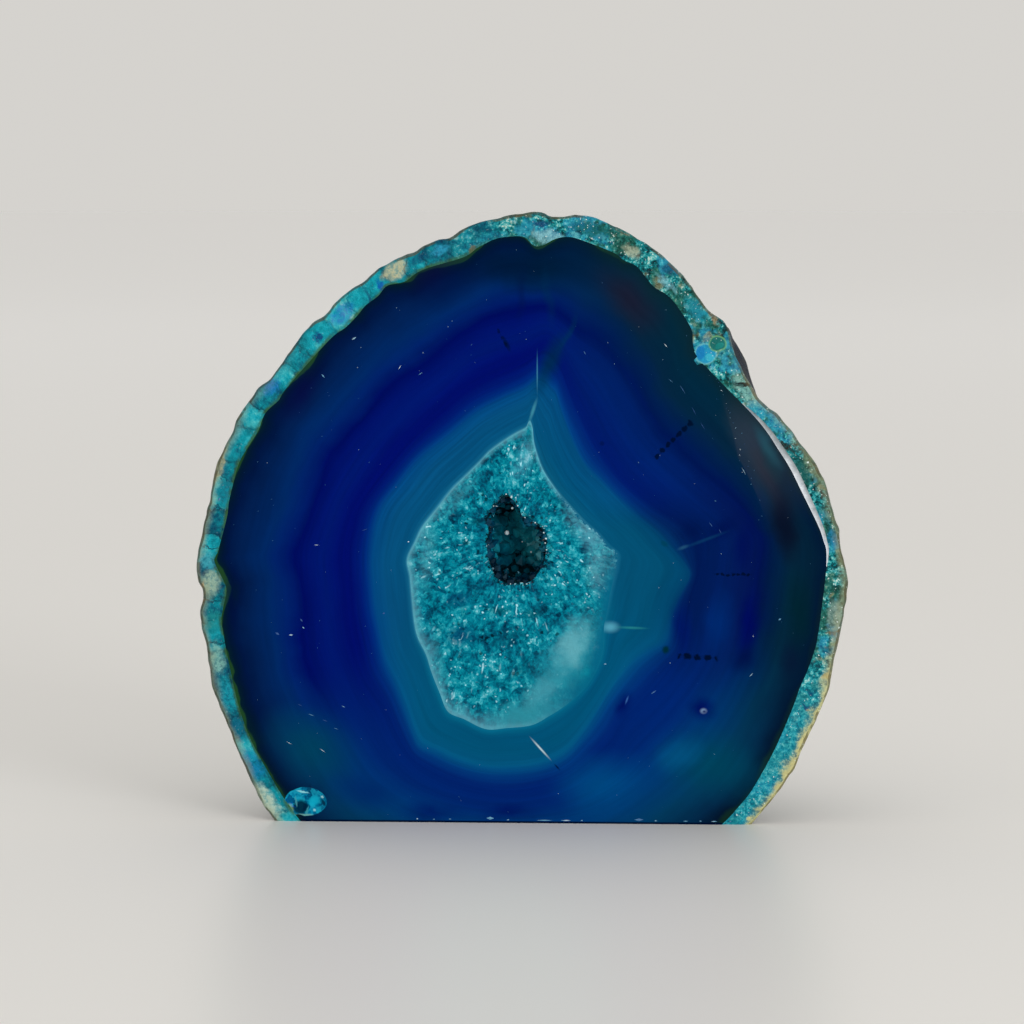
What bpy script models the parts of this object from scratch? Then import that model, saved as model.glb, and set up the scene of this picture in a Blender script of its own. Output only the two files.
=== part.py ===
# Blue banded agate end piece with a polished front face, a natural domed back
# and a sawn base that it stands on. Metres, +Z up, the face looks along -Y.
# The origin is the centre of the sawn base.

import math

import bmesh
import bpy
import numpy as np

MM = 0.001

# Driving dimensions of the stone, in millimetres until scaled by MM
FACE_Y = -15.0
DEPTH = 46.0
HOLLOW_CENTRE = (0.1, 45.8)
BACK_POLE = (3.0, 47.0)
DOME_POWER = 1.6
DOME_ROOT = 2.4
ROUNDING_DEPTH = 16.0
LUMPS_FROM = 14.0
ROUNDING_POWER = 0.7
KEPT_HARMONICS = 5
COLUMNS = 132
BACK_RINGS = 16
FIRST_RING = 2.2
EASE = -0.5
SUMMIT_RISE = 0.4
# Behind the face the back draws in by these slopes on the right and above, save where it bulges
TUCK_RIGHT = 0.06
TUCK_ABOVE = 0.12
TUCK_SOFTNESS = 0.35
BULGE_WINDOW = {"angle": 0.68, "half": 0.11, "rise": 1.7}

# Outer edge of the face (x, z), anticlockwise from the right, as if not yet sawn below
OUTLINE = [
    (52.2, 44.9), (53.2, 40.3), (53.3, 37.9), (52.2, 30.8), (50.8, 23.5), (48.2, 15.6), (44.0, 7.4),
    (36.7, -1.8), (20.3, -13.1), (0.9, -16.2), (-18.5, -13.6), (-33.1, -6.4), (-40.9, 2.8),
    (-44.1, 9.5), (-48.2, 19.9), (-49.0, 22.8), (-50.4, 30.0), (-50.8, 34.0), (-50.3, 36.0),
    (-51.3, 41.5), (-50.6, 46.0), (-48.2, 56.9), (-44.5, 65.1), (-41.4, 69.7), (-38.8, 72.0),
    (-32.5, 80.3), (-30.2, 81.9), (-26.2, 85.9), (-23.6, 87.6), (-21.7, 89.3), (-12.6, 93.8),
    (-10.1, 94.3), (-6.9, 96.3), (1.2, 98.1), (4.1, 98.3), (5.8, 97.5), (9.9, 97.9), (14.1, 96.9),
    (18.4, 94.8), (23.9, 91.1), (27.6, 87.3), (29.2, 84.8), (33.8, 80.3), (34.9, 76.4),
    (37.8, 70.5), (39.3, 68.4), (42.3, 65.8), (47.4, 59.2), (50.0, 54.1), (51.2, 50.4),
]

# Mouth of the crystal hollow in the face
HOLLOW_MOUTH = [
    (5.1, 44.5), (4.6, 42.1), (3.8, 40.6), (2.5, 39.2), (0.9, 39.0), (-1.1, 38.9), (-2.8, 39.7),
    (-4.2, 43.2), (-4.1, 47.9), (-3.9, 50.5), (-2.5, 52.1), (-1.1, 53.0), (0.7, 51.1), (1.3, 49.8),
    (4.1, 48.1), (4.9, 46.6),
]
# Wall of the hollow from mouth to floor: share of the mouth's radius, depth behind the face
HOLLOW_WALL = [(0.96, 1.5), (1.04, 4.5), (0.86, 8.0), (0.45, 10.3)]
HOLLOW_DEPTH = 11.0

# Ridge where the polished face bends back towards the right-hand edge
CREASE = [
    (36.5, -2.0), (35.5, 4.1), (37.1, 9.8), (39.0, 15.5), (41.0, 22.0), (43.0, 30.1), (43.3, 34.1),
    (41.7, 43.0), (39.4, 51.0), (37.1, 56.4), (35.5, 59.4), (33.1, 67.6), (31.1, 73.3), (34.5, 79.0),
]
CREASE_SLOPE = 0.07
NO_CREASE = 200.0
CREASE_MARGIN = 0.6
PLAIN_FACE_SHARE = 0.8
# Narrow ground bevel between that side facet and the rind
BEVEL_INNER = [(49.5, 45.7), (48.6, 48.3), (47.2, 51.2), (45.6, 54.4), (44.1, 57.4), (42.3, 60.3),
               (40.4, 62.9), (38.6, 65.5), (37.2, 67.8)]
BEVEL_WIDTH = 1.3
BEVEL_SLOPE = 0.35
RIND_WIDTH = 3.6
RIND_STEP = 0.3
EDGE_ROUND = 0.55
# Each ripple of the rounded edge: share of its radius, waves round the stone, phase
EDGE_RIPPLES = [(0.35, 23.0, 0.0), (0.25, 41.0, 1.0)]

# Bulge that shows behind the upper right edge, and the lumps of the natural back
BULGE = ((35.0, -9.0, 74.5), 3.0, 5.5)
LARGE_LUMPS = {"count": 36, "height": 2.3, "width": 9.0, "turn": 0.0}
SMALL_LUMPS = {"count": 150, "height": 1.0, "width": 4.2, "turn": 1.1}
LUMPS_START = 0.1
LUMPS_SPREAD = 50.0
HEIGHT_TURN = (2.4, 0.7)
WIDTH_TURN = (0.8, 0.3, 1.7)
# Ledges of the rind: drop in millimetres, waves round the stone, sway of the waves
LEDGE = 0.25
LEDGE_WAVES = 31.0
LEDGE_SWAY = (2.0, 7.0)

# Small features of the face: (x, z, radius, height) of the round crystals in the rind
ROUND_CRYSTALS = [(30.4, 75.9, 1.75, 0.40), (32.2, 77.5, 1.45, 0.45)]
BUTTON_SIDES = 12
BUTTON_LEVEL = 0.35
BUTTON_ROOT = 1.2
# Rings of a round crystal: share of its radius, share of its height
BUTTON_RINGS = [(0.55, 0.92), (0.9, 0.5)]
# Lens-shaped chip at the lower left, with the crystals that it lays open
POCKET = {"left": -37.3, "right": -30.3, "level": 3.2, "rise": 2.4, "depth": 1.3}
POCKET_CORNERS = 12
POCKET_POINTEDNESS = 0.25
POCKET_CRYSTALS = 7
POCKET_CRYSTAL = {"first": 1.3, "pitch": 0.75, "radius": 0.55, "extra": 0.12, "sway": 0.8, "lean": 0.5,
                  "below": 0.15, "root": 0.5}
# Turn from one crystal to the next of its place, and of the sideways and upward lean of its tip
POCKET_TURNS = {"place": 2.6, "sideways": 1.9, "upward": 1.3}
CRYSTAL_SHOULDER = 0.62
# Notches in the right-hand rind: (x, z) of the point, (x, z) of the open end, half the open width
NOTCHES = [((34.2, 71.3), (38.4, 70.3), 0.9), ((41.5, 62.0), (44.6, 59.7), 0.7)]
NOTCH_DEPTH = 1.5
CUT_START = 1.0
SAW_TOLERANCE = 1e-7

# Crust of crystals that lines the hollow
CRUST_GAP = 0.3
CRUST_THICKNESS = 0.7
CRUST_COLUMNS = 20
CRUST_RECESS = 0.35
CRUST_MARGIN = 0.12
CRUST_LIP = 0.25
CRUST_FLOOR_SHARE = 0.42
CRUST_FLOOR_RISE = 0.4
CRUST_WALL_RISE = 0.9
CRUST_POLE_RISE = 1.7
CRUST_POLE_SINK = 0.1
CRYSTAL_SHORT = 0.4
CRYSTAL_LONG = 1.5
CRYSTAL_TURN = 5.1
# Longest a crystal grows: share of its distance from the hollow's axis, and millimetres more
CRYSTAL_ROOM = (0.45, 0.2)


def closed_radius(points, angles):
    """Radius about the hollow's centre of a smooth closed curve through the points.

    Each stretch is a Catmull-Rom cubic; the curve is then read off by angle."""
    corner = np.array(points, float)
    before, after, next_but_one = (np.roll(corner, shift, axis=0) for shift in (1, -1, -2))
    stretches = []
    for t in np.linspace(0.0, 1.0, 6, endpoint=False):
        stretches.append(0.5 * (2.0 * corner + (after - before) * t
                                + (2.0 * before - 5.0 * corner + 4.0 * after - next_but_one) * t ** 2
                                + (3.0 * corner - before - 3.0 * after + next_but_one) * t ** 3))
    curve = np.stack(stretches, axis=1).reshape(-1, 2) - HOLLOW_CENTRE
    turn = np.arctan2(curve[:, 1], curve[:, 0])
    order = np.argsort(turn)
    return np.interp(angles, turn[order], np.hypot(curve[order, 0], curve[order, 1]), period=2 * math.pi)


def open_radius(points, angles, elsewhere):
    """Radius by angle of an open line of points; outside its ends the value given as elsewhere."""
    line = np.array(points, float) - HOLLOW_CENTRE
    turn = np.arctan2(line[:, 1], line[:, 0])
    order = np.argsort(turn)
    wrapped = (angles + math.pi) % (2 * math.pi) - math.pi
    radius = np.interp(wrapped, turn[order], np.hypot(line[order, 0], line[order, 1]))
    outside = (wrapped < turn.min()) | (wrapped > turn.max())
    return np.where(outside, elsewhere, radius)


def dome_share(share):
    """Share of the rim's radius left at a share of the depth: the root of one less a power of it."""
    return max(0.0, 1.0 - share ** DOME_POWER) ** (1.0 / DOME_ROOT)


def lumps():
    """Centre, height and width of each lump and dent, set along golden-angle spirals over the back."""
    golden = math.pi * (3.0 - math.sqrt(5.0))
    places = [BULGE]
    for size in (LARGE_LUMPS, SMALL_LUMPS):
        for k in range(size["count"]):
            share = LUMPS_START + (1.0 - LUMPS_START) * (k + 0.5) / size["count"]
            angle = golden * k + size["turn"]
            spread = LUMPS_SPREAD * dome_share(share)
            centre = (spread * math.cos(angle), FACE_Y + DEPTH * share,
                      HOLLOW_CENTRE[1] + spread * math.sin(angle))
            height = size["height"] * math.sin(HEIGHT_TURN[0] * k + HEIGHT_TURN[1])
            width = size["width"] * (WIDTH_TURN[0] + WIDTH_TURN[1] * math.sin(WIDTH_TURN[2] * k))
            places.append((centre, height, width))
    return places


def tucked(reach, rim, angles, depth):
    """The reach held softly inside the rim, and further in with depth on the right and above.

    The smaller of the reach and the allowed line is taken with a rounded corner between them;
    round one angle a bell-shaped window lets the bulge stand out again."""
    slope = np.clip(TUCK_RIGHT * np.cos(angles) + TUCK_ABOVE * np.sin(angles), 0.0, None)
    window = BULGE_WINDOW["rise"] * np.exp(-((angles - BULGE_WINDOW["angle"]) / BULGE_WINDOW["half"]) ** 2)
    allowed = rim - slope * depth + window
    return -TUCK_SOFTNESS * np.logaddexp(-reach / TUCK_SOFTNESS, -allowed / TUCK_SOFTNESS)


def dome_row(angles, rim, depth):
    """One ring of the back at a depth behind the face.

    The rim's small bends fade into its first few harmonics, it shrinks as the dome
    closes, drifts towards the back pole, and moves outwards by the bell-shaped lumps."""
    share = depth / DEPTH
    shrink = dome_share(share)
    harmonics = np.fft.rfft(rim)
    harmonics[KEPT_HARMONICS:] = 0.0
    rounded = min(1.0, depth / ROUNDING_DEPTH) ** ROUNDING_POWER
    smooth_rim = rim + (np.fft.irfft(harmonics, len(rim)) - rim) * rounded
    drift_x = (BACK_POLE[0] - HOLLOW_CENTRE[0]) * share
    drift_z = (BACK_POLE[1] - HOLLOW_CENTRE[1]) * share
    x = HOLLOW_CENTRE[0] + drift_x + smooth_rim * shrink * np.cos(angles)
    z = HOLLOW_CENTRE[1] + drift_z + smooth_rim * shrink * np.sin(angles)
    y = FACE_Y + depth
    push = np.zeros_like(x)
    for (cx, cy, cz), height, width in lumps():
        push += height * np.exp(-((x - cx) ** 2 + (y - cy) ** 2 + (z - cz) ** 2) / width ** 2)
    push *= min(1.0, depth / LUMPS_FROM)
    drift_outwards = drift_x * np.cos(angles) + drift_z * np.sin(angles)
    reach = tucked((smooth_rim + push) * shrink + drift_outwards, rim, angles, depth) - drift_outwards
    return np.stack([HOLLOW_CENTRE[0] + drift_x + reach * np.cos(angles), y + push * share,
                     HOLLOW_CENTRE[1] + drift_z + reach * np.sin(angles)], axis=1)


def face_row(angles, radius, crease, bevel, behind=0.0):
    """One ring on the front: the flat face, bent back beyond the crease and again over the bevel."""
    depth = CREASE_SLOPE * np.clip(radius - crease, 0.0, None)
    depth = depth + BEVEL_SLOPE * np.clip(radius - bevel[0], 0.0, bevel[1])
    return np.stack([HOLLOW_CENTRE[0] + radius * np.cos(angles), FACE_Y + depth + behind,
                     HOLLOW_CENTRE[1] + radius * np.sin(angles)], axis=1)


def skin(name, rings, first_pole, last_pole):
    """Closed mesh through rings of equal length, each end gathered to a pole; from mm to metres."""
    count = len(rings[0])
    points = np.vstack([[first_pole]] + rings + [[last_pole]]) * MM
    faces = []
    for j in range(count):
        k = (j + 1) % count
        faces.append((0, 1 + j, 1 + k))
        for i in range(len(rings) - 1):
            near, far = 1 + i * count, 1 + (i + 1) * count
            faces.append((near + j, far + j, far + k, near + k))
        end = 1 + (len(rings) - 1) * count
        faces.append((end + j, len(points) - 1, end + k))
    mesh = bpy.data.meshes.new(name)
    mesh.from_pydata(points.tolist(), [], faces)
    piece = bpy.data.objects.new(name, mesh)
    bpy.context.collection.objects.link(piece)
    return piece


def hollow_ring(angles, mouth, share, depth, inset=0.0):
    """One ring of the hollow's wall, a share of its mouth, moved inwards by the inset."""
    radius = mouth * share - inset
    return np.stack([HOLLOW_CENTRE[0] + radius * np.cos(angles), np.full_like(radius, FACE_Y + depth),
                     HOLLOW_CENTRE[1] + radius * np.sin(angles)], axis=1)


def combine(target, tool, operation):
    """Applies an exact Boolean to the target and removes the tool."""
    modifier = target.modifiers.new("combine", "BOOLEAN")
    modifier.operation = operation
    modifier.solver = "EXACT"
    modifier.object = tool
    result = target.evaluated_get(bpy.context.evaluated_depsgraph_get())
    mesh = bpy.data.meshes.new_from_object(result)
    target.modifiers.remove(modifier)
    target.data = mesh
    bpy.data.objects.remove(tool)


def outline_prism(name, outline, front, back):
    """Straight-sided solid on an (x, z) outline given anticlockwise as seen from the front."""
    count = len(outline)
    points = [(x * MM, y * MM, z * MM) for y in (front, back) for x, z in outline]
    faces = [tuple(range(count)), tuple(range(2 * count - 1, count - 1, -1))]
    for j in range(count):
        k = (j + 1) % count
        faces.append((j, count + j, count + k, k))
    mesh = bpy.data.meshes.new(name)
    mesh.from_pydata(points, [], faces)
    piece = bpy.data.objects.new(name, mesh)
    bpy.context.collection.objects.link(piece)
    return piece


def crystal_cap(x, z, radius, height):
    """Low faceted button standing out of the face: the rings of its dome, closed below the surface."""
    angles = np.arange(BUTTON_SIDES) * 2.0 * math.pi / BUTTON_SIDES
    level = FACE_Y + BUTTON_LEVEL
    rings = []
    for spread, rise in [(across, up * height) for across, up in BUTTON_RINGS] + [(1.0, -BUTTON_ROOT)]:
        rings.append(np.stack([x + radius * spread * np.cos(angles), np.full(BUTTON_SIDES, level - rise),
                               z + radius * spread * np.sin(angles)], axis=1))
    return skin("button", rings, (x, level - height, z), (x, level + BUTTON_ROOT, z))


def six_sided_crystal(base, tip, radius):
    """Six-sided prism from base to tip that ends in a point over its last third."""
    base, tip = np.array(base, float), np.array(tip, float)
    along = (tip - base) / np.linalg.norm(tip - base)
    side = np.cross(along, (0.0, 0.0, 1.0))
    side /= np.linalg.norm(side)
    up = np.cross(side, along)
    angles = np.arange(6) * math.pi / 3.0
    ring = radius * (np.outer(np.cos(angles), side) + np.outer(np.sin(angles), up))
    shoulder = base + CRYSTAL_SHOULDER * (tip - base)
    return skin("crystal", [shoulder + ring, base + ring], tip, base)


def build_stone():
    """The stone: face, hollow, edge and back as one skin, then sawn flat below and given its chips."""
    angles = np.arange(COLUMNS) * 2.0 * math.pi / COLUMNS
    rim = closed_radius(OUTLINE, angles)
    mouth = closed_radius(HOLLOW_MOUTH, angles)
    crease = open_radius(CREASE, angles, NO_CREASE)
    bevel_start = open_radius(BEVEL_INNER, angles, 0.0)
    on_bevel = bevel_start > 0.0
    inner = np.where(on_bevel, bevel_start, rim - RIND_WIDTH)
    first = math.atan2(BEVEL_INNER[0][1] - HOLLOW_CENTRE[1], BEVEL_INNER[0][0] - HOLLOW_CENTRE[0])
    last = math.atan2(BEVEL_INNER[-1][1] - HOLLOW_CENTRE[1], BEVEL_INNER[-1][0] - HOLLOW_CENTRE[0])
    swell = np.clip(np.sin(math.pi * (angles - first) / (last - first)), 0.0, None)
    width = np.where(on_bevel, BEVEL_WIDTH * swell, 0.0)
    bevel = (inner, width)

    rings = []
    for share, depth in reversed(HOLLOW_WALL):
        rings.append(hollow_ring(angles, mouth, share, depth))
    ripple = sum(part * np.sin(waves * angles + phase) for part, waves, phase in EDGE_RIPPLES)
    edge = EDGE_ROUND * (1.0 + ripple)
    ridge = np.minimum(crease, inner - CREASE_MARGIN)
    ridge = np.where(crease > rim, PLAIN_FACE_SHARE * rim, ridge)
    bevel_end = inner + np.maximum(width, RIND_STEP)
    for radius in (mouth, 0.5 * (mouth + ridge), ridge, inner, bevel_end):
        rings.append(face_row(angles, radius, crease, bevel))
    sway = LEDGE_SWAY[0] * np.sin(LEDGE_SWAY[1] * angles)
    ledges = 0.5 * LEDGE * (1.0 + np.sin(LEDGE_WAVES * angles + sway))
    rings.append(face_row(angles, 0.5 * (bevel_end + rim - edge), crease, bevel, ledges))
    rings.append(face_row(angles, rim - edge, crease, bevel, 0.5 * ledges))
    rings.append(face_row(angles, rim, crease, bevel, ledges + edge))
    for k in range(1, BACK_RINGS + 1):
        share = k / (BACK_RINGS + 1)
        eased = share + EASE * math.sin(2.0 * math.pi * share) / (2.0 * math.pi)
        rings.append(dome_row(angles, rim, FIRST_RING + (DEPTH - FIRST_RING) * eased))
    summit = rings[-1].mean(axis=0) + (0.0, SUMMIT_RISE, 0.0)
    stone = skin("agate", rings, (HOLLOW_CENTRE[0], FACE_Y + HOLLOW_DEPTH, HOLLOW_CENTRE[1]), summit)

    solid = bmesh.new()
    solid.from_mesh(stone.data)
    everything = solid.verts[:] + solid.edges[:] + solid.faces[:]
    sawn = bmesh.ops.bisect_plane(solid, geom=everything, dist=SAW_TOLERANCE,
                                  plane_co=(0.0, 0.0, 0.0), plane_no=(0.0, 0.0, -1.0), clear_outer=True)
    rim_edges = [piece for piece in sawn["geom_cut"] if isinstance(piece, bmesh.types.BMEdge)]
    bmesh.ops.contextual_create(solid, geom=rim_edges)
    bmesh.ops.recalc_face_normals(solid, faces=solid.faces)
    solid.to_mesh(stone.data)
    solid.free()

    lens = []
    middle = 0.5 * (POCKET["left"] + POCKET["right"])
    reach = 0.5 * (POCKET["right"] - POCKET["left"])
    for angle in np.linspace(0.0, 2.0 * math.pi, POCKET_CORNERS, endpoint=False):
        upwards = math.sin(angle)
        bow = POCKET["rise"] * upwards * (1.0 - POCKET_POINTEDNESS + POCKET_POINTEDNESS * abs(upwards))
        lens.append((middle + reach * math.cos(angle), POCKET["level"] + bow))
    chip = outline_prism("chip", lens, FACE_Y - CUT_START, FACE_Y + POCKET["depth"])
    combine(stone, chip, "DIFFERENCE")
    for (x0, z0), (x1, z1), half in NOTCHES:
        tilt = math.atan2(z1 - z0, x1 - x0)
        across = (-half * math.sin(tilt), half * math.cos(tilt))
        wedge = [(x0, z0), (x1 - across[0], z1 - across[1]), (x1 + across[0], z1 + across[1])]
        combine(stone, outline_prism("notch", wedge, FACE_Y - CUT_START, FACE_Y + NOTCH_DEPTH), "DIFFERENCE")
    shape = POCKET_CRYSTAL
    for k in range(POCKET_CRYSTALS):
        x = POCKET["left"] + shape["first"] + shape["pitch"] * k
        z = POCKET["level"] + shape["sway"] * math.sin(POCKET_TURNS["place"] * k)
        tip = (x + shape["lean"] * math.cos(POCKET_TURNS["sideways"] * k),
               FACE_Y + shape["below"] * (1 + k % 3),
               z + shape["lean"] * math.sin(POCKET_TURNS["upward"] * k))
        root = (x, FACE_Y + POCKET["depth"] + shape["root"], z)
        combine(stone, six_sided_crystal(root, tip, shape["radius"] + shape["extra"] * (k % 2)), "UNION")
    for x, z, radius, height in ROUND_CRYSTALS:
        combine(stone, crystal_cap(x, z, radius, height), "UNION")
    return stone


def build_crust():
    """The lining of the hollow: a thin bowl whose inside is set with four-sided crystal points."""
    angles = np.arange(CRUST_COLUMNS) * 2.0 * math.pi / CRUST_COLUMNS
    mouth = closed_radius(HOLLOW_MOUTH, angles)
    wall = [(1.0, CRUST_RECESS)] + HOLLOW_WALL
    gap = CRUST_GAP + CRUST_MARGIN
    bottom = HOLLOW_DEPTH - CRUST_GAP
    outer = [hollow_ring(angles, mouth, share, depth, gap) for share, depth in wall]
    deepest = bottom - CRUST_THICKNESS - CRUST_WALL_RISE
    inner = [hollow_ring(angles, mouth, share, min(depth, deepest), CRUST_GAP + CRUST_THICKNESS)
             for share, depth in wall[:-1]]
    inner[0][:, 1] += CRUST_LIP
    inner.append(hollow_ring(angles, mouth, CRUST_FLOOR_SHARE, bottom - CRUST_THICKNESS - CRUST_FLOOR_RISE))
    middle_x, middle_z = HOLLOW_CENTRE
    crust = skin("hollow_crystals", inner[::-1] + outer,
                 (middle_x, FACE_Y + HOLLOW_DEPTH - CRUST_POLE_RISE, middle_z),
                 (middle_x, FACE_Y + bottom - CRUST_POLE_SINK, middle_z))

    points = bmesh.new()
    points.from_mesh(crust.data)
    points.faces.ensure_lookup_table()
    lining = [face for face in points.faces if max(v.index for v in face.verts) <= len(inner) * CRUST_COLUMNS]
    grown = bmesh.ops.poke(points, faces=lining)
    for k, tip in enumerate(grown["verts"]):
        pulse = (0.5 + 0.5 * math.sin(CRYSTAL_TURN * k)) ** 2
        length = CRYSTAL_SHORT + (CRYSTAL_LONG - CRYSTAL_SHORT) * pulse
        room = math.hypot(tip.co.x - middle_x * MM, tip.co.z - middle_z * MM)
        tip.co += tip.normal * min(length * MM, CRYSTAL_ROOM[0] * room + CRYSTAL_ROOM[1] * MM)
    points.to_mesh(crust.data)
    points.free()
    return crust


def stone_material(name, colour, roughness):
    """Plain polished stone finish."""
    material = bpy.data.materials.new(name)
    material.use_nodes = True
    shader = material.node_tree.nodes["Principled BSDF"]
    shader.inputs["Base Color"].default_value = (*colour, 1.0)
    shader.inputs["Roughness"].default_value = roughness
    shader.inputs["Metallic"].default_value = 0.0
    return material


for leftover in list(bpy.data.objects):
    bpy.data.objects.remove(leftover)

agate = build_stone()
agate.data.materials.clear()
agate.data.materials.append(stone_material("dyed_blue_agate", (0.005, 0.03, 0.14), 0.12))

hollow_crystals = build_crust()
hollow_crystals.data.materials.clear()
hollow_crystals.data.materials.append(stone_material("teal_crystal", (0.01, 0.13, 0.16), 0.18))
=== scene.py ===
import math

import bmesh
import bpy
import numpy as np
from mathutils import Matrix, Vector


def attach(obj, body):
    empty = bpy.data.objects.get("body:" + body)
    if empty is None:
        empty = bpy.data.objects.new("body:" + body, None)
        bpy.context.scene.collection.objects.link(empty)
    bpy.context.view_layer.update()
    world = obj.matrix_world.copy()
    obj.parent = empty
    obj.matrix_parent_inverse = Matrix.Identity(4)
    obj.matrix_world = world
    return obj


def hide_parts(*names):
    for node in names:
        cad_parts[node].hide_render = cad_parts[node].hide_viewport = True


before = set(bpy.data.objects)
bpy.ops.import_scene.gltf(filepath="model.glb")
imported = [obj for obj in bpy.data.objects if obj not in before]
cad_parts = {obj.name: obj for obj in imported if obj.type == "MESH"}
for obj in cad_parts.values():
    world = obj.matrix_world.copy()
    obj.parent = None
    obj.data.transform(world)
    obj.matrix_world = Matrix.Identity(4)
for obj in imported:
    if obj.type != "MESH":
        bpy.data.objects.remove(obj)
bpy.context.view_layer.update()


# Camera and studio
# A long lens a little to the right of the polished face and a little above it. One soft light stands to
# the right, where the ground bevel mirrors it, one hangs overhead, and the room gives an even pale fill.
MM = 0.001
AIM = Vector((-0.375, -15.0, 50.47)) * MM
CAMERA_AZIMUTH = math.radians(2.56)
CAMERA_ELEVATION = math.radians(6.0)
CAMERA_DISTANCE = 600 * MM
FRAME_WIDTH = 163.84 * MM
SENSOR_WIDTH = 36.0
NEAREST_SEEN = 10 * MM
ROOM_COLOUR = (0.665, 0.648, 0.618, 1.0)
ROOM_STRENGTH = 1.0
# Place and target, width and height, all in metres, and watts
KEY_LIGHT = ((0.86, -0.96, 0.27), (0.04, 0.0, 0.05), 0.55, 0.60, 9.0)
OVERHEAD_LIGHT = ((-0.1, 0.25, 1.3), (0.0, 0.0, 0.03), 1.2, 1.2, 3.0)


def look_at(piece, place, target):
    """Puts a lamp or camera at a place with its -Z axis on the target and its Y axis upwards."""
    piece.location = place
    piece.rotation_euler = (Vector(target) - Vector(place)).to_track_quat("-Z", "Y").to_euler()


def soft_light(name, place, target, width, height, watts):
    """A rectangular area light that faces the target."""
    lamp = bpy.data.lights.new(name, "AREA")
    lamp.shape = "RECTANGLE"
    lamp.size = width
    lamp.size_y = height
    lamp.energy = watts
    stand = bpy.data.objects.new(name, lamp)
    bpy.context.collection.objects.link(stand)
    look_at(stand, place, target)


lens = bpy.data.cameras.new("camera")
lens.sensor_width = SENSOR_WIDTH
lens.lens = SENSOR_WIDTH * CAMERA_DISTANCE / FRAME_WIDTH
lens.clip_start = NEAREST_SEEN
camera = bpy.data.objects.new("camera", lens)
bpy.context.collection.objects.link(camera)
to_camera = Vector((math.sin(CAMERA_AZIMUTH) * math.cos(CAMERA_ELEVATION),
                    -math.cos(CAMERA_AZIMUTH) * math.cos(CAMERA_ELEVATION), math.sin(CAMERA_ELEVATION)))
look_at(camera, AIM + to_camera * CAMERA_DISTANCE, AIM)
bpy.context.scene.camera = camera

room = bpy.data.worlds.new("room")
room.use_nodes = True
room.node_tree.nodes["Background"].inputs["Color"].default_value = ROOM_COLOUR
room.node_tree.nodes["Background"].inputs["Strength"].default_value = ROOM_STRENGTH
bpy.context.scene.world = room
bpy.context.scene.view_settings.view_transform = "Standard"
soft_light("key", *KEY_LIGHT)
soft_light("overhead", *OVERHEAD_LIGHT)


def dye(colour):
    """Socket value of a colour: three display numbers up to 255 are made linear, four are linear already."""
    if len(colour) == 4:
        return colour
    channels = [channel / 255.0 for channel in colour]
    return tuple(c / 12.92 if c <= 0.04045 else ((c + 0.055) / 1.055) ** 2.4 for c in channels) + (1.0,)


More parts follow.
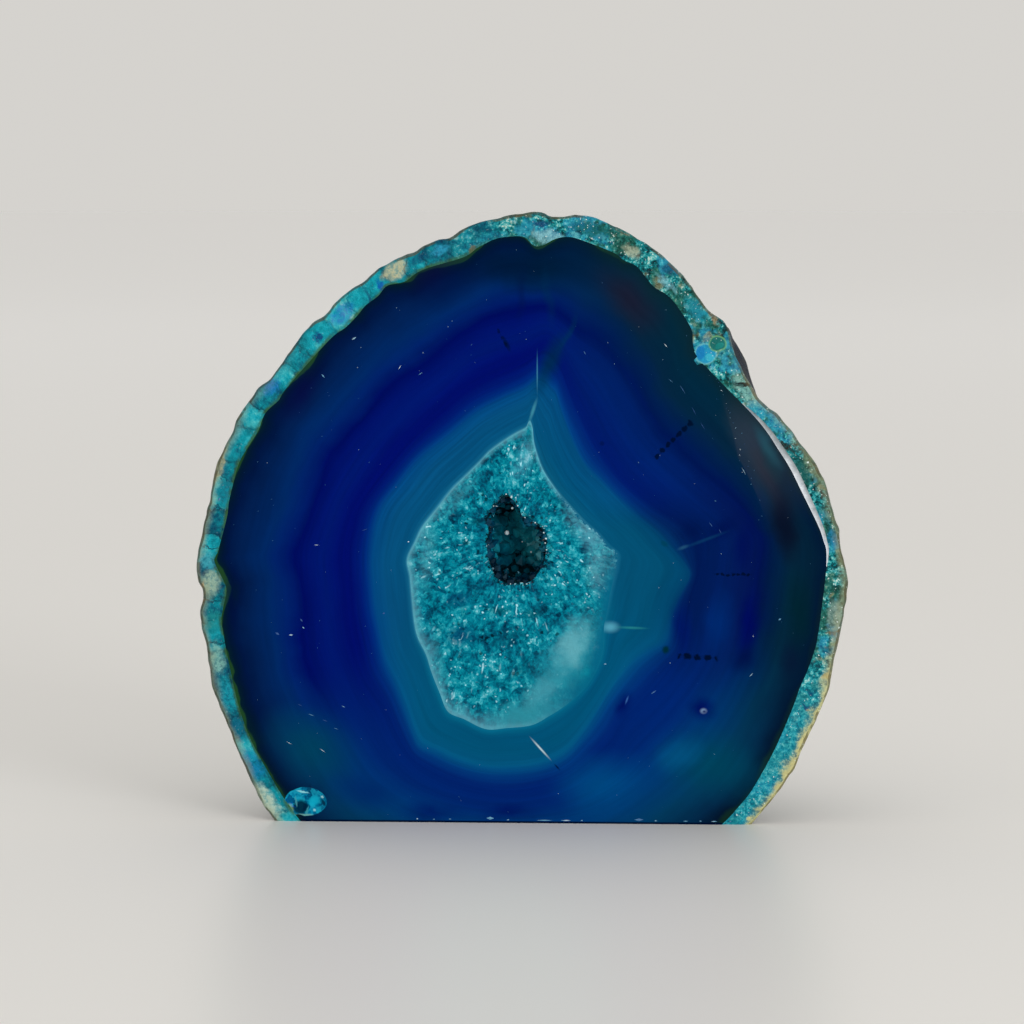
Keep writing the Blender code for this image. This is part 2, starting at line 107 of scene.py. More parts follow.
class Wire:
    """One shader socket in Python sums: operators add Math nodes and node() adds any other node."""

    def __init__(self, tree, socket=None):
        self.tree = tree
        self.socket = socket

    def node(self, kind, settings=None, inputs=None, take=0):
        """Adds a node, sets its settings and then its sockets, and returns one of its outputs."""
        made = self.tree.nodes.new("ShaderNode" + kind)
        for name, value in (settings or {}).items():
            if name == "stops":
                ramp = made.color_ramp
                while len(ramp.elements) > 1:
                    ramp.elements.remove(ramp.elements[-1])
                for number, (place, colour) in enumerate(value):
                    stop = ramp.elements[0] if number == 0 else ramp.elements.new(place)
                    stop.position = place
                    stop.color = dye(colour)
            else:
                setattr(made, name, value)
        for name, value in (inputs or {}).items():
            if isinstance(value, Wire):
                self.tree.links.new(value.socket, made.inputs[name])
            else:
                made.inputs[name].default_value = value
        return Wire(self.tree, made.outputs[take])

    def maths(self, operation, *values):
        """A Math node on the values, in the order given."""
        return self.node("Math", {"operation": operation}, dict(enumerate(values)))

    def __add__(self, other):
        return self.maths("ADD", self, other)

    def __radd__(self, other):
        return self.maths("ADD", other, self)

    def __sub__(self, other):
        return self.maths("SUBTRACT", self, other)

    def __rsub__(self, other):
        return self.maths("SUBTRACT", other, self)

    def __mul__(self, other):
        return self.maths("MULTIPLY", self, other)

    def __rmul__(self, other):
        return self.maths("MULTIPLY", other, self)

    def __truediv__(self, other):
        return self.maths("DIVIDE", self, other)

    def rise(self, low, high):
        """Smooth step from 0 at low to 1 at high; with low above high it falls instead."""
        if low > high:
            return 1.0 - self.rise(high, low)
        settings = {"interpolation_type": "SMOOTHSTEP"}
        return self.node("MapRange", settings, {"Value": self, "From Min": low, "From Max": high})

    def vector(self, operation, *values, take=0):
        """A Vector Math node; take is 1 for the operations whose result is a number."""
        return self.node("VectorMath", {"operation": operation}, dict(enumerate(values)), take=take)

    def stretch(self, factor):
        """This vector times a number."""
        return self.node("VectorMath", {"operation": "SCALE"}, {"Vector": self, "Scale": factor})

    def reading(self, name):
        """The mesh's own number of that name."""
        return self.node("Attribute", {"attribute_name": name}, take=2)

    def noise(self, place, size, detail=2.0, roughness=0.5, distortion=0.0, take=0):
        """Noise with lumps about size millimetres across, from a place in millimetres."""
        return self.node("TexNoise", None, {"Vector": place, "Scale": 1.0 / size, "Detail": detail,
                                            "Roughness": roughness, "Distortion": distortion}, take=take)

    def cells(self, place, size, feature="F1", take=0):
        """Voronoi cells about size millimetres across; take 0 is the distance and 1 the cell's colour."""
        inputs = {"Vector": place, "Scale": 1.0 / size}
        return self.node("TexVoronoi", {"feature": feature}, inputs, take=take)

    def cell_shade(self, place, size, channel=0):
        """An even random number for each Voronoi cell about size millimetres across."""
        return self.cells(place, size, take=1).parts("SeparateColor")[channel]

    def flow(self, axes, detail, roughness):
        """Noise over three numbers, such as a band and a heading, instead of over a place."""
        place = self.node("CombineXYZ", None, dict(enumerate(axes)))
        return self.node("TexNoise", None, {"Vector": place, "Scale": 1.0, "Detail": detail,
                                            "Roughness": roughness})

    def mix(self, share, under, over):
        """Colour mix: under where share is 0 and over where it is 1."""
        made = self.tree.nodes.new("ShaderNodeMix")
        made.data_type = "RGBA"
        for socket, value in ((made.inputs[0], share), (made.inputs[6], under), (made.inputs[7], over)):
            if isinstance(value, Wire):
                self.tree.links.new(value.socket, socket)
            else:
                socket.default_value = dye(value) if isinstance(value, tuple) else value
        return Wire(self.tree, made.outputs[2])

    def parts(self, kind="SeparateXYZ"):
        """The three numbers of a vector or a colour."""
        made = self.node(kind, None, {0: self}).socket.node
        return [Wire(self.tree, made.outputs[number]) for number in range(3)]

    def ramp(self, value, stops):
        """Colour ramp with stops of (place, colour)."""
        return self.node("ValToRGB", {"stops": stops}, {"Fac": value})


def new_finish(name, **constants):
    """A Principled finish with its constant sockets set; returns the material, its shader and a Wire."""
    material = bpy.data.materials.new(name)
    material.use_nodes = True
    shader = material.node_tree.nodes["Principled BSDF"]
    for socket, value in constants.items():
        shader.inputs[socket.replace("_", " ")].default_value = value
    return material, shader, Wire(material.node_tree)


def feed(shader, socket, wire):
    """Links a Wire to a socket of the shader."""
    wire.tree.links.new(wire.socket, shader.inputs[socket])


def raise_bumps(shader, wire, height, strength, distance):
    """Feeds a height in millimetres through a Bump node to the shader's normal."""
    bump = wire.node("Bump", None, {"Height": height, "Strength": strength, "Distance": distance * MM})
    feed(shader, "Normal", bump)


# Floor
# A plain pale matt surface that the stone stands on, wide enough to fill every view.
PALE_FLOOR = (0.80, 0.79, 0.77, 1.0)
FAR_FLOOR = (0.985, 0.985, 0.985, 1.0)
FLOOR_RADIUS = 4.0
FLOOR_CORNERS = 96
# Metres from the stone over which the floor turns paler
FLOOR_FADE = (0.2, 1.6)

floor_material, floor_shader, w = new_finish("pale_floor", Roughness=0.35, Specular_IOR_Level=0.35)
from_stone = w.vector("LENGTH", w.node("TexCoord", take=3), take=1)
feed(floor_shader, "Base Color", w.mix(from_stone.rise(*FLOOR_FADE), PALE_FLOOR, FAR_FLOOR))
floor_mesh = bpy.data.meshes.new("floor")
edge_turns = np.linspace(0.0, 2.0 * np.pi, FLOOR_CORNERS, endpoint=False)
floor_mesh.from_pydata([(FLOOR_RADIUS * math.cos(a), FLOOR_RADIUS * math.sin(a), 0.0) for a in edge_turns],
                       [], [tuple(range(FLOOR_CORNERS))])
floor_mesh.materials.append(floor_material)
floor = bpy.data.objects.new("floor", floor_mesh)
bpy.context.collection.objects.link(floor)


# The agate
# One dyed chalcedony nodule, cut and polished on the front, sawn flat below and natural behind. Its bands
# are nested round the crystal hollow, so the whole skin is one polar net about the hollow's middle: rows
# follow the bands from the hollow's floor over the face, the rind and the edge to the summit of the back.
FACE_Y = -15.0
DEPTH = 46.0
HOLLOW_CENTRE = (0.1, 45.8)
BACK_POLE = (3.0, 47.0)
DOME_POWER = 1.6
DOME_ROOT = 2.4
ROUNDING_DEPTH = 16.0
LUMPS_FROM = 14.0
LUMP_SPREAD = 50.0
EDGE_WAVES = 5
# Size and height in millimetres and random salt of the back's roughness, and of its dents
SKIN = ((4.6, 0.55, 81), (2.0, 0.35, 82), (0.95, 0.22, 83))
DENTS = (3.1, 0.55, 84)
# Behind the face the back draws in by these slopes on the right and above, save where it bulges
TUCK_RIGHT = 0.06
TUCK_ABOVE = 0.12
TUCK_SOFTNESS = 0.35
BULGE_WINDOW = {"angle": 0.68, "half": 0.11, "rise": 1.7}
FIRST_RING = 2.2
COLUMNS = 560
WALL_ROWS = 15
# Rows of the net in the core, the ring, up to either ultramarine line, the margin, the side facet, the rind
FACE_ROWS = (56, 7, 5, 6, 6, 7, 13)
BACK_ROWS = 44
CURVE_STEPS = 8

# Each line below is a closed one, in millimetres as (x, z) on the face, anticlockwise from the right.
# The mouth of the hollow
MOUTH = [
    (5.1, 44.5), (4.6, 42.1), (3.8, 40.6), (2.5, 39.2), (0.9, 39), (-1.1, 38.9), (-2.8, 39.7),
    (-3.7, 41.4), (-4.2, 43.2), (-4.4, 45.1), (-4.1, 47.9), (-4.4, 49), (-3.9, 50.5), (-2.5, 52.1),
    (-1.1, 53), (-0.2, 52.2), (0.7, 51.1), (1.3, 49.8), (2.5, 49), (4.1, 48.1), (4.9, 46.6),
]
# The outside of the crystal core, drawn up to a tip
CORE = [
    (16.4, 44), (16.4, 42.2), (16, 40.2), (15.4, 37.7), (14.9, 34.7), (14.4, 32), (14.2, 28.3),
    (13.3, 25.4), (11.5, 22.4), (8.6, 19.5), (5.6, 17.5), (2.8, 16), (-1.2, 15.5), (-4.6, 15.3),
    (-8.1, 16.9), (-10.7, 18.1), (-12, 21.1), (-13.3, 24.4), (-14.2, 27.3), (-15.5, 30), (-16.1, 32.6),
    (-16.5, 36.7), (-16.8, 40.1), (-17.2, 42.8), (-15.9, 45.7), (-14.7, 48.1), (-12.5, 50.9), (-10.1, 54),
    (-7.9, 56.2), (-5.5, 58.6), (-3.9, 60.3), (-1.6, 62), (0.3, 63.2), (1.9, 64.1), (2.4, 65.2),
    (2.9, 64), (3.1, 61.9), (3.7, 59.6), (4.7, 57.1), (6.7, 54.1), (8.7, 51.7), (11.1, 49.1),
    (13.3, 47.2), (14.8, 45.4),
]
# The outside of the teal ring, with the neck above
RING = [
    (27.6, 41.9), (28, 40.1), (26.7, 37.6), (25.6, 35), (24.8, 31.9), (24, 29.6), (21.9, 28.2),
    (19.4, 26.4), (16.8, 23.4), (14.9, 20.7), (13.1, 17.7), (11.2, 14.8), (8.3, 11.3), (4.6, 9.5),
    (-0.2, 8.8), (-5.1, 8.9), (-9.6, 10.1), (-12.5, 11.5), (-15.1, 12.6), (-16.2, 14.6), (-17.6, 18.6),
    (-19.1, 22.4), (-21, 26.4), (-22.1, 31), (-23, 36.1), (-23.3, 43.9), (-22, 50.5), (-19, 54.9),
    (-15.3, 59.4), (-10.9, 63), (-6.4, 66.7), (-2.1, 69), (1.5, 70.6), (3.1, 71.8), (4.2, 72.4),
    (5.2, 72), (6, 71), (6.8, 70.1), (7.8, 66.9), (9.4, 62.7), (11.5, 58.7), (14.2, 55.8), (17.1, 52.8),
    (20, 49.9), (23, 47.4), (24.6, 45.6),
]
# The inner of the two deep ultramarine lines
INNER_LINE = [
    (29.7, 44.8), (29.4, 40.5), (28.3, 36.4), (27.2, 28.7), (25.3, 25.4), (22.8, 22.2), (17.6, 16.6),
    (15.7, 13.3), (12.2, 10.1), (7.4, 6.8), (0.9, 5.1), (-5.5, 5.4), (-12, 7.3), (-16.5, 10.2),
    (-19.1, 14.2), (-21, 18.6), (-23.9, 23.2), (-25.7, 28.8), (-26.8, 35.3), (-27.2, 42.6), (-26.5, 47.4),
    (-24.8, 52), (-19.4, 59.2), (-15.9, 63.3), (-11.9, 67.1), (-7.4, 70.8), (-2.3, 73.3), (1.7, 75.2),
    (4.9, 77.2), (7.3, 75), (9.7, 69.3), (11, 66.6), (12.9, 62.7), (15.3, 58.9), (18.2, 55.4),
    (22.5, 51.7), (26.5, 49.3), (29, 47.2),
]
# The outer ultramarine line
OUTER_LINE = [
    (39.9, 45.4), (38.5, 36.5), (37.3, 32.5), (36.3, 28.4), (33.3, 21.9), (28.3, 14.6), (24.3, 10.5),
    (18.6, 5.5), (12.2, 1.9), (4.1, 0.2), (-5.5, 0.1), (-13.6, 1.7), (-20.1, 4.9), (-24.9, 9.8),
    (-32.6, 24.4), (-33.7, 29.6), (-34.2, 36.1), (-34.9, 42.6), (-33.9, 47.4), (-29.5, 57.9),
    (-24.7, 64.8), (-18.3, 71.6), (-13.5, 75.1), (-8, 79.7), (-3.9, 81.5), (4.1, 83.4), (7.7, 81.7),
    (10.1, 79.6), (15.9, 75.8), (23.9, 63.1), (36.7, 51), (38.9, 48.1),
]
# The inside of the turquoise rind
RIND = [
    (49.8, 44.9), (49.9, 43), (49.7, 39.5), (48.6, 30.6), (47.9, 27.7), (46.9, 24.8), (45.8, 22.3),
    (44.7, 19.1), (41.9, 12.4), (38.4, 5.9), (36, 2.8), (33.5, 0.1), (28.3, -4.2), (20.3, -8.8),
    (10.6, -11.7), (0.9, -12.6), (-8.8, -11.9), (-18.5, -9.5), (-26.6, -6), (-32.3, -2.2), (-36, 1.8),
    (-40, 8.3), (-43.2, 14.7), (-45.1, 21.1), (-47.1, 31.5), (-47, 34.4), (-46.4, 37.1), (-46.6, 38.6),
    (-48.3, 42.3), (-47.7, 43.9), (-46.2, 49.4), (-45.8, 52.2), (-44.3, 57.8), (-43, 60.3), (-41.1, 63.3),
    (-39.9, 66.2), (-37.7, 68.3), (-36.5, 70.2), (-29.6, 77.9), (-27, 79.9), (-25.1, 81.8), (-23.7, 83.5),
    (-21.7, 85), (-20.3, 86.6), (-17.4, 87.3), (-15.5, 88.7), (-13.3, 89.6), (-8, 91.2), (-5.8, 92.7),
    (-3.2, 94), (-1.2, 94.4), (1.5, 94.4), (3.1, 93), (4.6, 93.1), (6.5, 94.1), (8.4, 94.4), (10.4, 94),
    (15.8, 91.9), (17.4, 90.7), (19.5, 89.7), (22, 86.7), (24.3, 85.2), (26, 83.3), (28.2, 79.7),
    (29.4, 75.2), (38.6, 65.5), (42.3, 60.3), (44.1, 57.4), (45.6, 54.4), (48.6, 48.3), (49.5, 45.7),
]
# The outer edge of the face, which below the base is what the saw took away
EDGE = [
    (52.2, 44.9), (53.2, 40.3), (53.3, 37.9), (51.8, 29), (51.1, 26.1), (50.8, 23.5), (50.1, 20.9),
    (45.9, 11.3), (44, 7.4), (36.7, -1.8), (32.4, -5.8), (26.8, -9.8), (20.3, -13.1), (10.6, -15.5),
    (0.9, -16.2), (-8.8, -15.7), (-18.5, -13.6), (-26.6, -10.4), (-33.1, -6.4), (-37.2, -2.3),
    (-39.7, 1.1), (-40.9, 2.8), (-44.1, 9.5), (-44.9, 11.7), (-48.2, 19.9), (-49, 22.8), (-49.8, 28.5),
    (-50.5, 31.4), (-50.8, 34), (-50.3, 36), (-50.4, 37.6), (-50.9, 38.9), (-51.3, 41.5), (-50.1, 47.8),
    (-48.9, 52.7), (-48.2, 56.9), (-46.7, 60.4), (-45.4, 62.8), (-44.5, 65.1), (-41.4, 69.7), (-38.8, 72),
    (-35.2, 77), (-32.5, 80.3), (-30.2, 81.9), (-28.5, 84), (-26.2, 85.9), (-23.6, 87.6), (-21.7, 89.3),
    (-20.3, 90), (-18.5, 91.1), (-16.3, 91.8), (-14.5, 92.9), (-12.6, 93.8), (-10.1, 94.3), (-6.9, 96.3),
    (1.2, 98.1), (4.1, 98.3), (5.8, 97.5), (8.5, 97.6), (9.9, 97.9), (12, 97.6), (14.1, 96.9),
    (18.4, 94.8), (23.9, 91.1), (27.6, 87.3), (29.2, 84.8), (31.2, 82.5), (32.7, 81.6), (33.8, 80.3),
    (34.9, 76.4), (36.4, 73), (37.8, 70.5), (39.3, 68.4), (40.7, 67), (42.3, 65.8), (47.4, 59.2),
    (48.9, 56.6), (50, 54.1), (51.3, 49.3), (52, 47.5),
]
# The ridge where the face bends back, an open line from the foot upwards
CREASE = [
    (36.5, -2), (34.6, 0.1), (35.5, 4.1), (37.1, 9.8), (39, 15.5), (41, 22), (43, 30.1), (43.3, 34.1),
    (41.7, 43), (39.4, 51), (37.1, 56.4), (35.5, 59.4), (33.1, 67.6), (31.1, 73.3), (34.5, 79),
]
CREASE_SLOPE = 0.07
NO_CREASE = 200.0
BEVEL_ANGLES = (math.radians(-5.0), math.radians(31.5))
BEVEL_WIDTH = 1.0
BEVEL_SLOPE = 0.35
LEAST_BEVEL = 0.25
EDGE_ROUND = 0.55
EDGE_JITTER = 0.12
RIM_TURNS = (0.35, 0.75, 1.15, 0.5 * math.pi)
# Least distance between two bands, and from a band's line to the rows that hold it sharp
BAND_GAP = 0.35
HAIR = 0.12
# Share of the mouth's radius, and depth, from the floor of the hollow to its mouth
HOLLOW_WALL = [(0.45, 10.3), (0.86, 8.0), (1.04, 4.5), (0.96, 1.5), (1.0, 0.0)]
HOLLOW_DEPTH = 11.0
BULGE = ((35.0, -9.0, 74.5), 3.0, 5.5)
LARGE_LUMPS = {"count": 36, "height": 2.3, "width": 9.0, "turn": 0.0}
SMALL_LUMPS = {"count": 150, "height": 1.0, "width": 4.2, "turn": 1.1}
POCKET = {"middle": -33.8, "half": 3.5, "level": 3.2, "rise": 2.4, "depth": 1.2}
ROUND_CRYSTALS = [(30.4, 75.9, 1.75, 0.40), (32.2, 77.5, 1.45, 0.45)]


def closed_radius(points, angles):
    """Radius by angle of the smooth closed line through the points: Catmull-Rom cubics read by angle."""
    corner = np.array(points, float)
    before, after, later = (np.roll(corner, shift, axis=0) for shift in (1, -1, -2))
    stretches = []
    for t in np.linspace(0.0, 1.0, CURVE_STEPS, endpoint=False):
        stretches.append(0.5 * (2.0 * corner + (after - before) * t
                                + (2.0 * before - 5.0 * corner + 4.0 * after - later) * t ** 2
                                + (3.0 * corner - before - 3.0 * after + later) * t ** 3))
    curve = np.stack(stretches, axis=1).reshape(-1, 2) - HOLLOW_CENTRE
    turn = np.arctan2(curve[:, 1], curve[:, 0])
    order = np.argsort(turn)
    return np.interp(angles, turn[order], np.hypot(curve[order, 0], curve[order, 1]), period=2 * math.pi)


def open_radius(points, angles, elsewhere):
    """Radius by angle of an open line of points, and the value elsewhere beyond its ends."""
    line = np.array(points, float) - HOLLOW_CENTRE
    turn = np.arctan2(line[:, 1], line[:, 0])
    order = np.argsort(turn)
    wrapped = (angles + math.pi) % (2 * math.pi) - math.pi
    radius = np.interp(wrapped, turn[order], np.hypot(line[order, 0], line[order, 1]))
    return np.where((wrapped < turn.min()) | (wrapped > turn.max()), elsewhere, radius)


def scramble(lattice, salt):
    """Even random numbers from 0 to 1 for whole lattice points: a folded product of primes."""
    mixed = lattice[..., 0] * 73856093 ^ lattice[..., 1] * 19349663 ^ lattice[..., 2] * 83492791
    mixed = (mixed ^ (salt * 2654435761)) & 0xFFFFFFFF
    mixed = ((mixed ^ (mixed >> 15)) * 2246822519) & 0xFFFFFFFF
    mixed = ((mixed ^ (mixed >> 13)) * 3266489917) & 0xFFFFFFFF
    return ((mixed ^ (mixed >> 16)) & 0xFFFFFF) / float(0xFFFFFF)


def soft_noise(points, size, salt):
    """Smooth noise from -1 to 1: random values on a lattice of the given size, eased between corners."""
    scaled = points / size
    corner = np.floor(scaled).astype(np.int64)
    part = scaled - corner
    part = part * part * (3.0 - 2.0 * part)
    total = np.zeros(points.shape[:-1])
    for i in (0, 1):
        for j in (0, 1):
            for k in (0, 1):
                weight = np.ones(points.shape[:-1])
                for axis, step in enumerate((i, j, k)):
                    weight = weight * (part[..., axis] if step else 1.0 - part[..., axis])
                total += weight * scramble(corner + np.array((i, j, k)), salt)
    return 2.0 * total - 1.0


def crystal_facets(points, size, salt):
    """Faceted relief from 0 to 1 on a plane: each cell round a jittered seed is one tilted flat.

    The highest of the tilted planes round the nearest seeds is kept, so facets meet in straight edges."""
    scaled = points / size
    cell = np.floor(scaled).astype(np.int64)
    best = np.full(points.shape[:-1], -9.0)
    for i in (-1, 0, 1):
        for k in (-1, 0, 1):
            seed = cell + np.array((i, 0, k))
            seed[..., 1] = 0
            jitter = np.stack([scramble(seed, salt + 1), scramble(seed, salt + 2)], axis=-1)
            offset = scaled[..., (0, 2)] - (seed[..., (0, 2)] + jitter)
            lean = 2.2 * (np.stack([scramble(seed, salt + 3), scramble(seed, salt + 4)], axis=-1) - 0.5)
            reach = np.abs(offset).sum(axis=-1) * 0.5 + np.hypot(offset[..., 0], offset[..., 1]) * 0.6
            height = scramble(seed, salt + 5) - reach + (offset * lean).sum(axis=-1) * 0.5
            best = np.maximum(best, height)
    return np.clip(best * 0.8 + 0.4, 0.0, 1.0)


def step(value, low, high):
    """Smooth step from 0 at low to 1 at high."""
    share = np.clip((value - low) / (high - low), 0.0, 1.0)
    return share * share * (3.0 - 2.0 * share)


def dome_share(share):
    """Share of the rim's radius left at a share of the depth: the root of one less a power of it."""
    return np.clip(1.0 - share ** DOME_POWER, 0.0, None) ** (1.0 / DOME_ROOT)


def lumps():
    """Centre, height and width of each lump and dent, set along golden-angle spirals over the back."""
    golden = math.pi * (3.0 - math.sqrt(5.0))
    places = [BULGE]
    for size in (LARGE_LUMPS, SMALL_LUMPS):
        for k in range(size["count"]):
            share = 0.1 + 0.9 * (k + 0.5) / size["count"]
            angle = golden * k + size["turn"]
            spread = LUMP_SPREAD * float(dome_share(share))
            centre = (spread * math.cos(angle), FACE_Y + DEPTH * share,
                      HOLLOW_CENTRE[1] + spread * math.sin(angle))
            height = size["height"] * math.sin(2.4 * k + 0.7)
            places.append((centre, height, size["width"] * (0.8 + 0.3 * math.sin(1.7 * k))))
    return places


def polar(radius, angles, y):
    """Points at radii and angles about the hollow's axis, at depths y."""
    x = HOLLOW_CENTRE[0] + radius * np.cos(angles)
    z = HOLLOW_CENTRE[1] + radius * np.sin(angles)
    return np.stack([x, np.broadcast_to(y, x.shape), z], axis=-1)


def net_faces(rows, columns):
    """Corner numbers of the quads of a net closed sideways, with a fan to a pole at each end."""
    j = np.arange(columns)
    k = (j + 1) % columns
    start = np.stack([np.zeros(columns, int), 1 + j, 1 + k], axis=1)
    near = (1 + np.arange(rows - 1) * columns)[:, None]
    quads = np.stack([near + j, near + columns + j, near + columns + k, near + k], axis=-1).reshape(-1, 4)
    last = 1 + (rows - 1) * columns
    end = np.stack([last + j, np.full(columns, last + columns), last + k], axis=1)
    return start, quads, end


def net_mesh(name, grid, first, last):
    """Closed mesh of a grid of points in millimetres, gathered to a pole at each end."""
    rows, columns = grid.shape[:2]
    points = np.vstack([[first], grid.reshape(-1, 3), [last]]) * MM
    start, quads, end = net_faces(rows, columns)
    mesh = bpy.data.meshes.new(name)
    mesh.vertices.add(len(points))
    mesh.vertices.foreach_set("co", points.ravel())
    corners = np.concatenate([start.ravel(), quads.ravel(), end.ravel()])
    sizes = np.concatenate([np.full(len(start), 3), np.full(len(quads), 4), np.full(len(end), 3)])
    mesh.loops.add(len(corners))
    mesh.loops.foreach_set("vertex_index", corners)
    mesh.polygons.add(len(sizes))
    mesh.polygons.foreach_set("loop_start", np.concatenate([[0], np.cumsum(sizes)[:-1]]))
    mesh.polygons.foreach_set("loop_total", sizes)
    mesh.update(calc_edges=True)
    mesh.validate()
    return mesh


angles = np.arange(COLUMNS) * 2.0 * math.pi / COLUMNS
mouth, core, ring, inner_line, outer_line, rind, edge = (
    closed_radius(line, angles) for line in (MOUTH, CORE, RING, INNER_LINE, OUTER_LINE, RIND, EDGE))
knots = [mouth]
for line in (core, ring, inner_line, outer_line, rind, edge):
    knots.append(np.maximum(line, knots[-1] + BAND_GAP))
mouth, core, ring, inner_line, outer_line, rind, edge = knots
edge = edge + EDGE_JITTER * soft_noise(polar(edge, angles, 0.0), 1.3, 5)
crease = open_radius(CREASE, angles, NO_CREASE)
crease_row = np.where(crease > edge, 0.5 * (outer_line + rind), np.clip(crease, outer_line + 0.3, rind - 0.4))
signed = (angles + math.pi) % (2.0 * math.pi) - math.pi
on_bevel = (signed > BEVEL_ANGLES[0]) & (signed < BEVEL_ANGLES[1])
swell = np.clip(np.sin(math.pi * (signed - BEVEL_ANGLES[0]) / (BEVEL_ANGLES[1] - BEVEL_ANGLES[0])), 0.0, None)
bevel_width = np.where(on_bevel, BEVEL_WIDTH * swell ** 0.7, 0.0)
bevel_end = rind + np.maximum(bevel_width, LEAST_BEVEL)
rounding = EDGE_ROUND * (1.0 + 0.5 * soft_noise(polar(edge, angles, 3.0), 2.4, 9))


def between(inside, outside, count):
    """Evenly spaced radii from the inside line up to but not including the outside line."""
    shares = (np.arange(count) / count)[:, None]
    return list(inside + (outside - inside) * shares)


face_radii = np.array(
    between(mouth, core, FACE_ROWS[0]) + between(core, ring, FACE_ROWS[1])
    + between(ring, inner_line, FACE_ROWS[2]) + between(inner_line, outer_line, FACE_ROWS[3])
    + between(outer_line, crease_row - HAIR, FACE_ROWS[4])
    + [crease_row - HAIR, crease_row, crease_row + HAIR]
    + between(crease_row + 2 * HAIR, rind - HAIR, FACE_ROWS[5])
    + [rind - HAIR, rind, rind + HAIR, bevel_end, bevel_end + HAIR]
    + between(bevel_end + LEAST_BEVEL, edge - rounding, FACE_ROWS[6]) + [edge - rounding])
band = sum(np.clip((face_radii - low) / (high - low), 0.0, 1.0) for low, high in zip(knots[:-1], knots[1:]))
face_depth = CREASE_SLOPE * np.clip(face_radii - crease, 0.0, None)
face_depth = face_depth + BEVEL_SLOPE * np.clip(face_radii - rind, 0.0, bevel_width)
face = polar(face_radii, angles[None, :], FACE_Y + face_depth)

# Crystal relief in the core, sunk below the polish so that only the tops reach the face. Each facet is
# given as its size and depth in millimetres and a random salt
COARSE_FACET = (1.15, 0.34, 31)
FINE_FACET = (0.55, 0.16, 41)
RIND_FACET = (0.9, 0.14, 61)
POCKET_FACET = (2.2, 0.55, 71)


def sunk_facets(facet):
    """Depth of a faceted relief of the face: its depth where the facets are lowest and 0 at their tops."""
    size, deep, salt = facet
    return deep * (1.0 - crystal_facets(face, size, salt))


in_core = step(band, 0.0, 0.05) * step(-band, -0.97, -0.80)
open_pore = step(soft_noise(face, 5.0, 21) + 0.55 * soft_noise(face, 2.1, 22), -0.25, 0.45)
milky = np.exp(-(((face[..., 0] - 9.0) / 6.5) ** 2 + ((face[..., 2] - 25.0) / 7.5) ** 2) ** 2)
coarse = sunk_facets(COARSE_FACET)
core_relief = in_core * (0.10 + 0.90 * open_pore) * (1.0 - 0.9 * milky) * (coarse + sunk_facets(FINE_FACET))
core_relief += step(-band, -0.12, 0.0) * (coarse * 0.35 / COARSE_FACET[1] + 0.1)

# Pits and ledges of the rind, and the lens-shaped chip at the lower left
in_rind = step(band, 5.02, 5.12) * step(-band, -6.0, -5.93)
rind_relief = in_rind * (0.16 * step(soft_noise(face, 1.9, 51), 0.0, 0.7) + sunk_facets(RIND_FACET)
                         + 0.10 * step(soft_noise(face, 0.8, 52), 0.1, 0.8))
lens_share = (((face[..., 0] - POCKET["middle"]) / POCKET["half"]) ** 2
              + ((face[..., 2] - POCKET["level"]) / POCKET["rise"]) ** 2)
pocket = step(-lens_share, -0.95, -0.45)
pocket_relief = pocket * POCKET["depth"] * (1.0 - POCKET_FACET[1] + sunk_facets(POCKET_FACET))
face[..., 1] += np.where(pocket > 0.0, pocket_relief, core_relief + rind_relief)
for x, z, radius, height in ROUND_CRYSTALS:
    across = ((face[..., 0] - x) ** 2 + (face[..., 2] - z) ** 2) / radius ** 2
    face[..., 1] -= np.where(across < 1.0, 0.35 * height * np.sqrt(np.clip(1.0 - across, 0.0, None)), 0.0)

# Wall of the hollow, from its floor to its mouth
wall_levels = np.arange(len(HOLLOW_WALL))
wall_shares, wall_depths = np.array(HOLLOW_WALL).T
wall_steps = np.linspace(0.0, wall_levels[-1], WALL_ROWS + 1)[:-1, None]
wall_share = np.interp(wall_steps, wall_levels, wall_shares)
wall_depth = np.interp(wall_steps, wall_levels, wall_depths)
hollow = polar(mouth * wall_share, angles[None, :], FACE_Y + wall_depth + 0.0 * angles)
wall_band = np.broadcast_to(-0.25 * wall_depth, hollow.shape[:2])

# Rounded edge and natural back
turn_steps = np.array(RIM_TURNS)[:, None]
rim_depth = face_depth[-1] + rind_relief[-1]
rim = polar(edge - rounding + rounding * np.sin(turn_steps), angles[None, :],
            FACE_Y + rim_depth + rounding * (1.0 - np.cos(turn_steps)))
rows = (np.arange(1, BACK_ROWS + 1) / (BACK_ROWS + 1))[:, None]
eased = rows - 0.5 * np.sin(2.0 * math.pi * rows) / (2.0 * math.pi)
depth = FIRST_RING + (DEPTH - FIRST_RING) * eased
share = depth / DEPTH
harmonics = np.fft.rfft(edge)
harmonics[EDGE_WAVES:] = 0.0
rounded = np.clip(depth / ROUNDING_DEPTH, 0.0, 1.0) ** 0.7
reach = (edge + (np.fft.irfft(harmonics, COLUMNS) - edge) * rounded) * dome_share(share)
drift = np.array([BACK_POLE[0] - HOLLOW_CENTRE[0], 0.0, BACK_POLE[1] - HOLLOW_CENTRE[1]])
back = polar(reach, angles[None, :], FACE_Y + depth) + drift * share[..., None]
push = np.zeros(back.shape[:2])
for centre, height, width in lumps():
    push += height * np.exp(-((back - centre) ** 2).sum(axis=-1) / width ** 2)
push *= np.clip(depth / LUMPS_FROM, 0.0, 1.0)
roughness = sum(height * soft_noise(back, size, salt) for size, height, salt in SKIN)
roughness = roughness - DENTS[1] * step(soft_noise(back, DENTS[0], DENTS[2]), 0.35, 0.75)
push += roughness * step(depth, 0.0, 5.0)
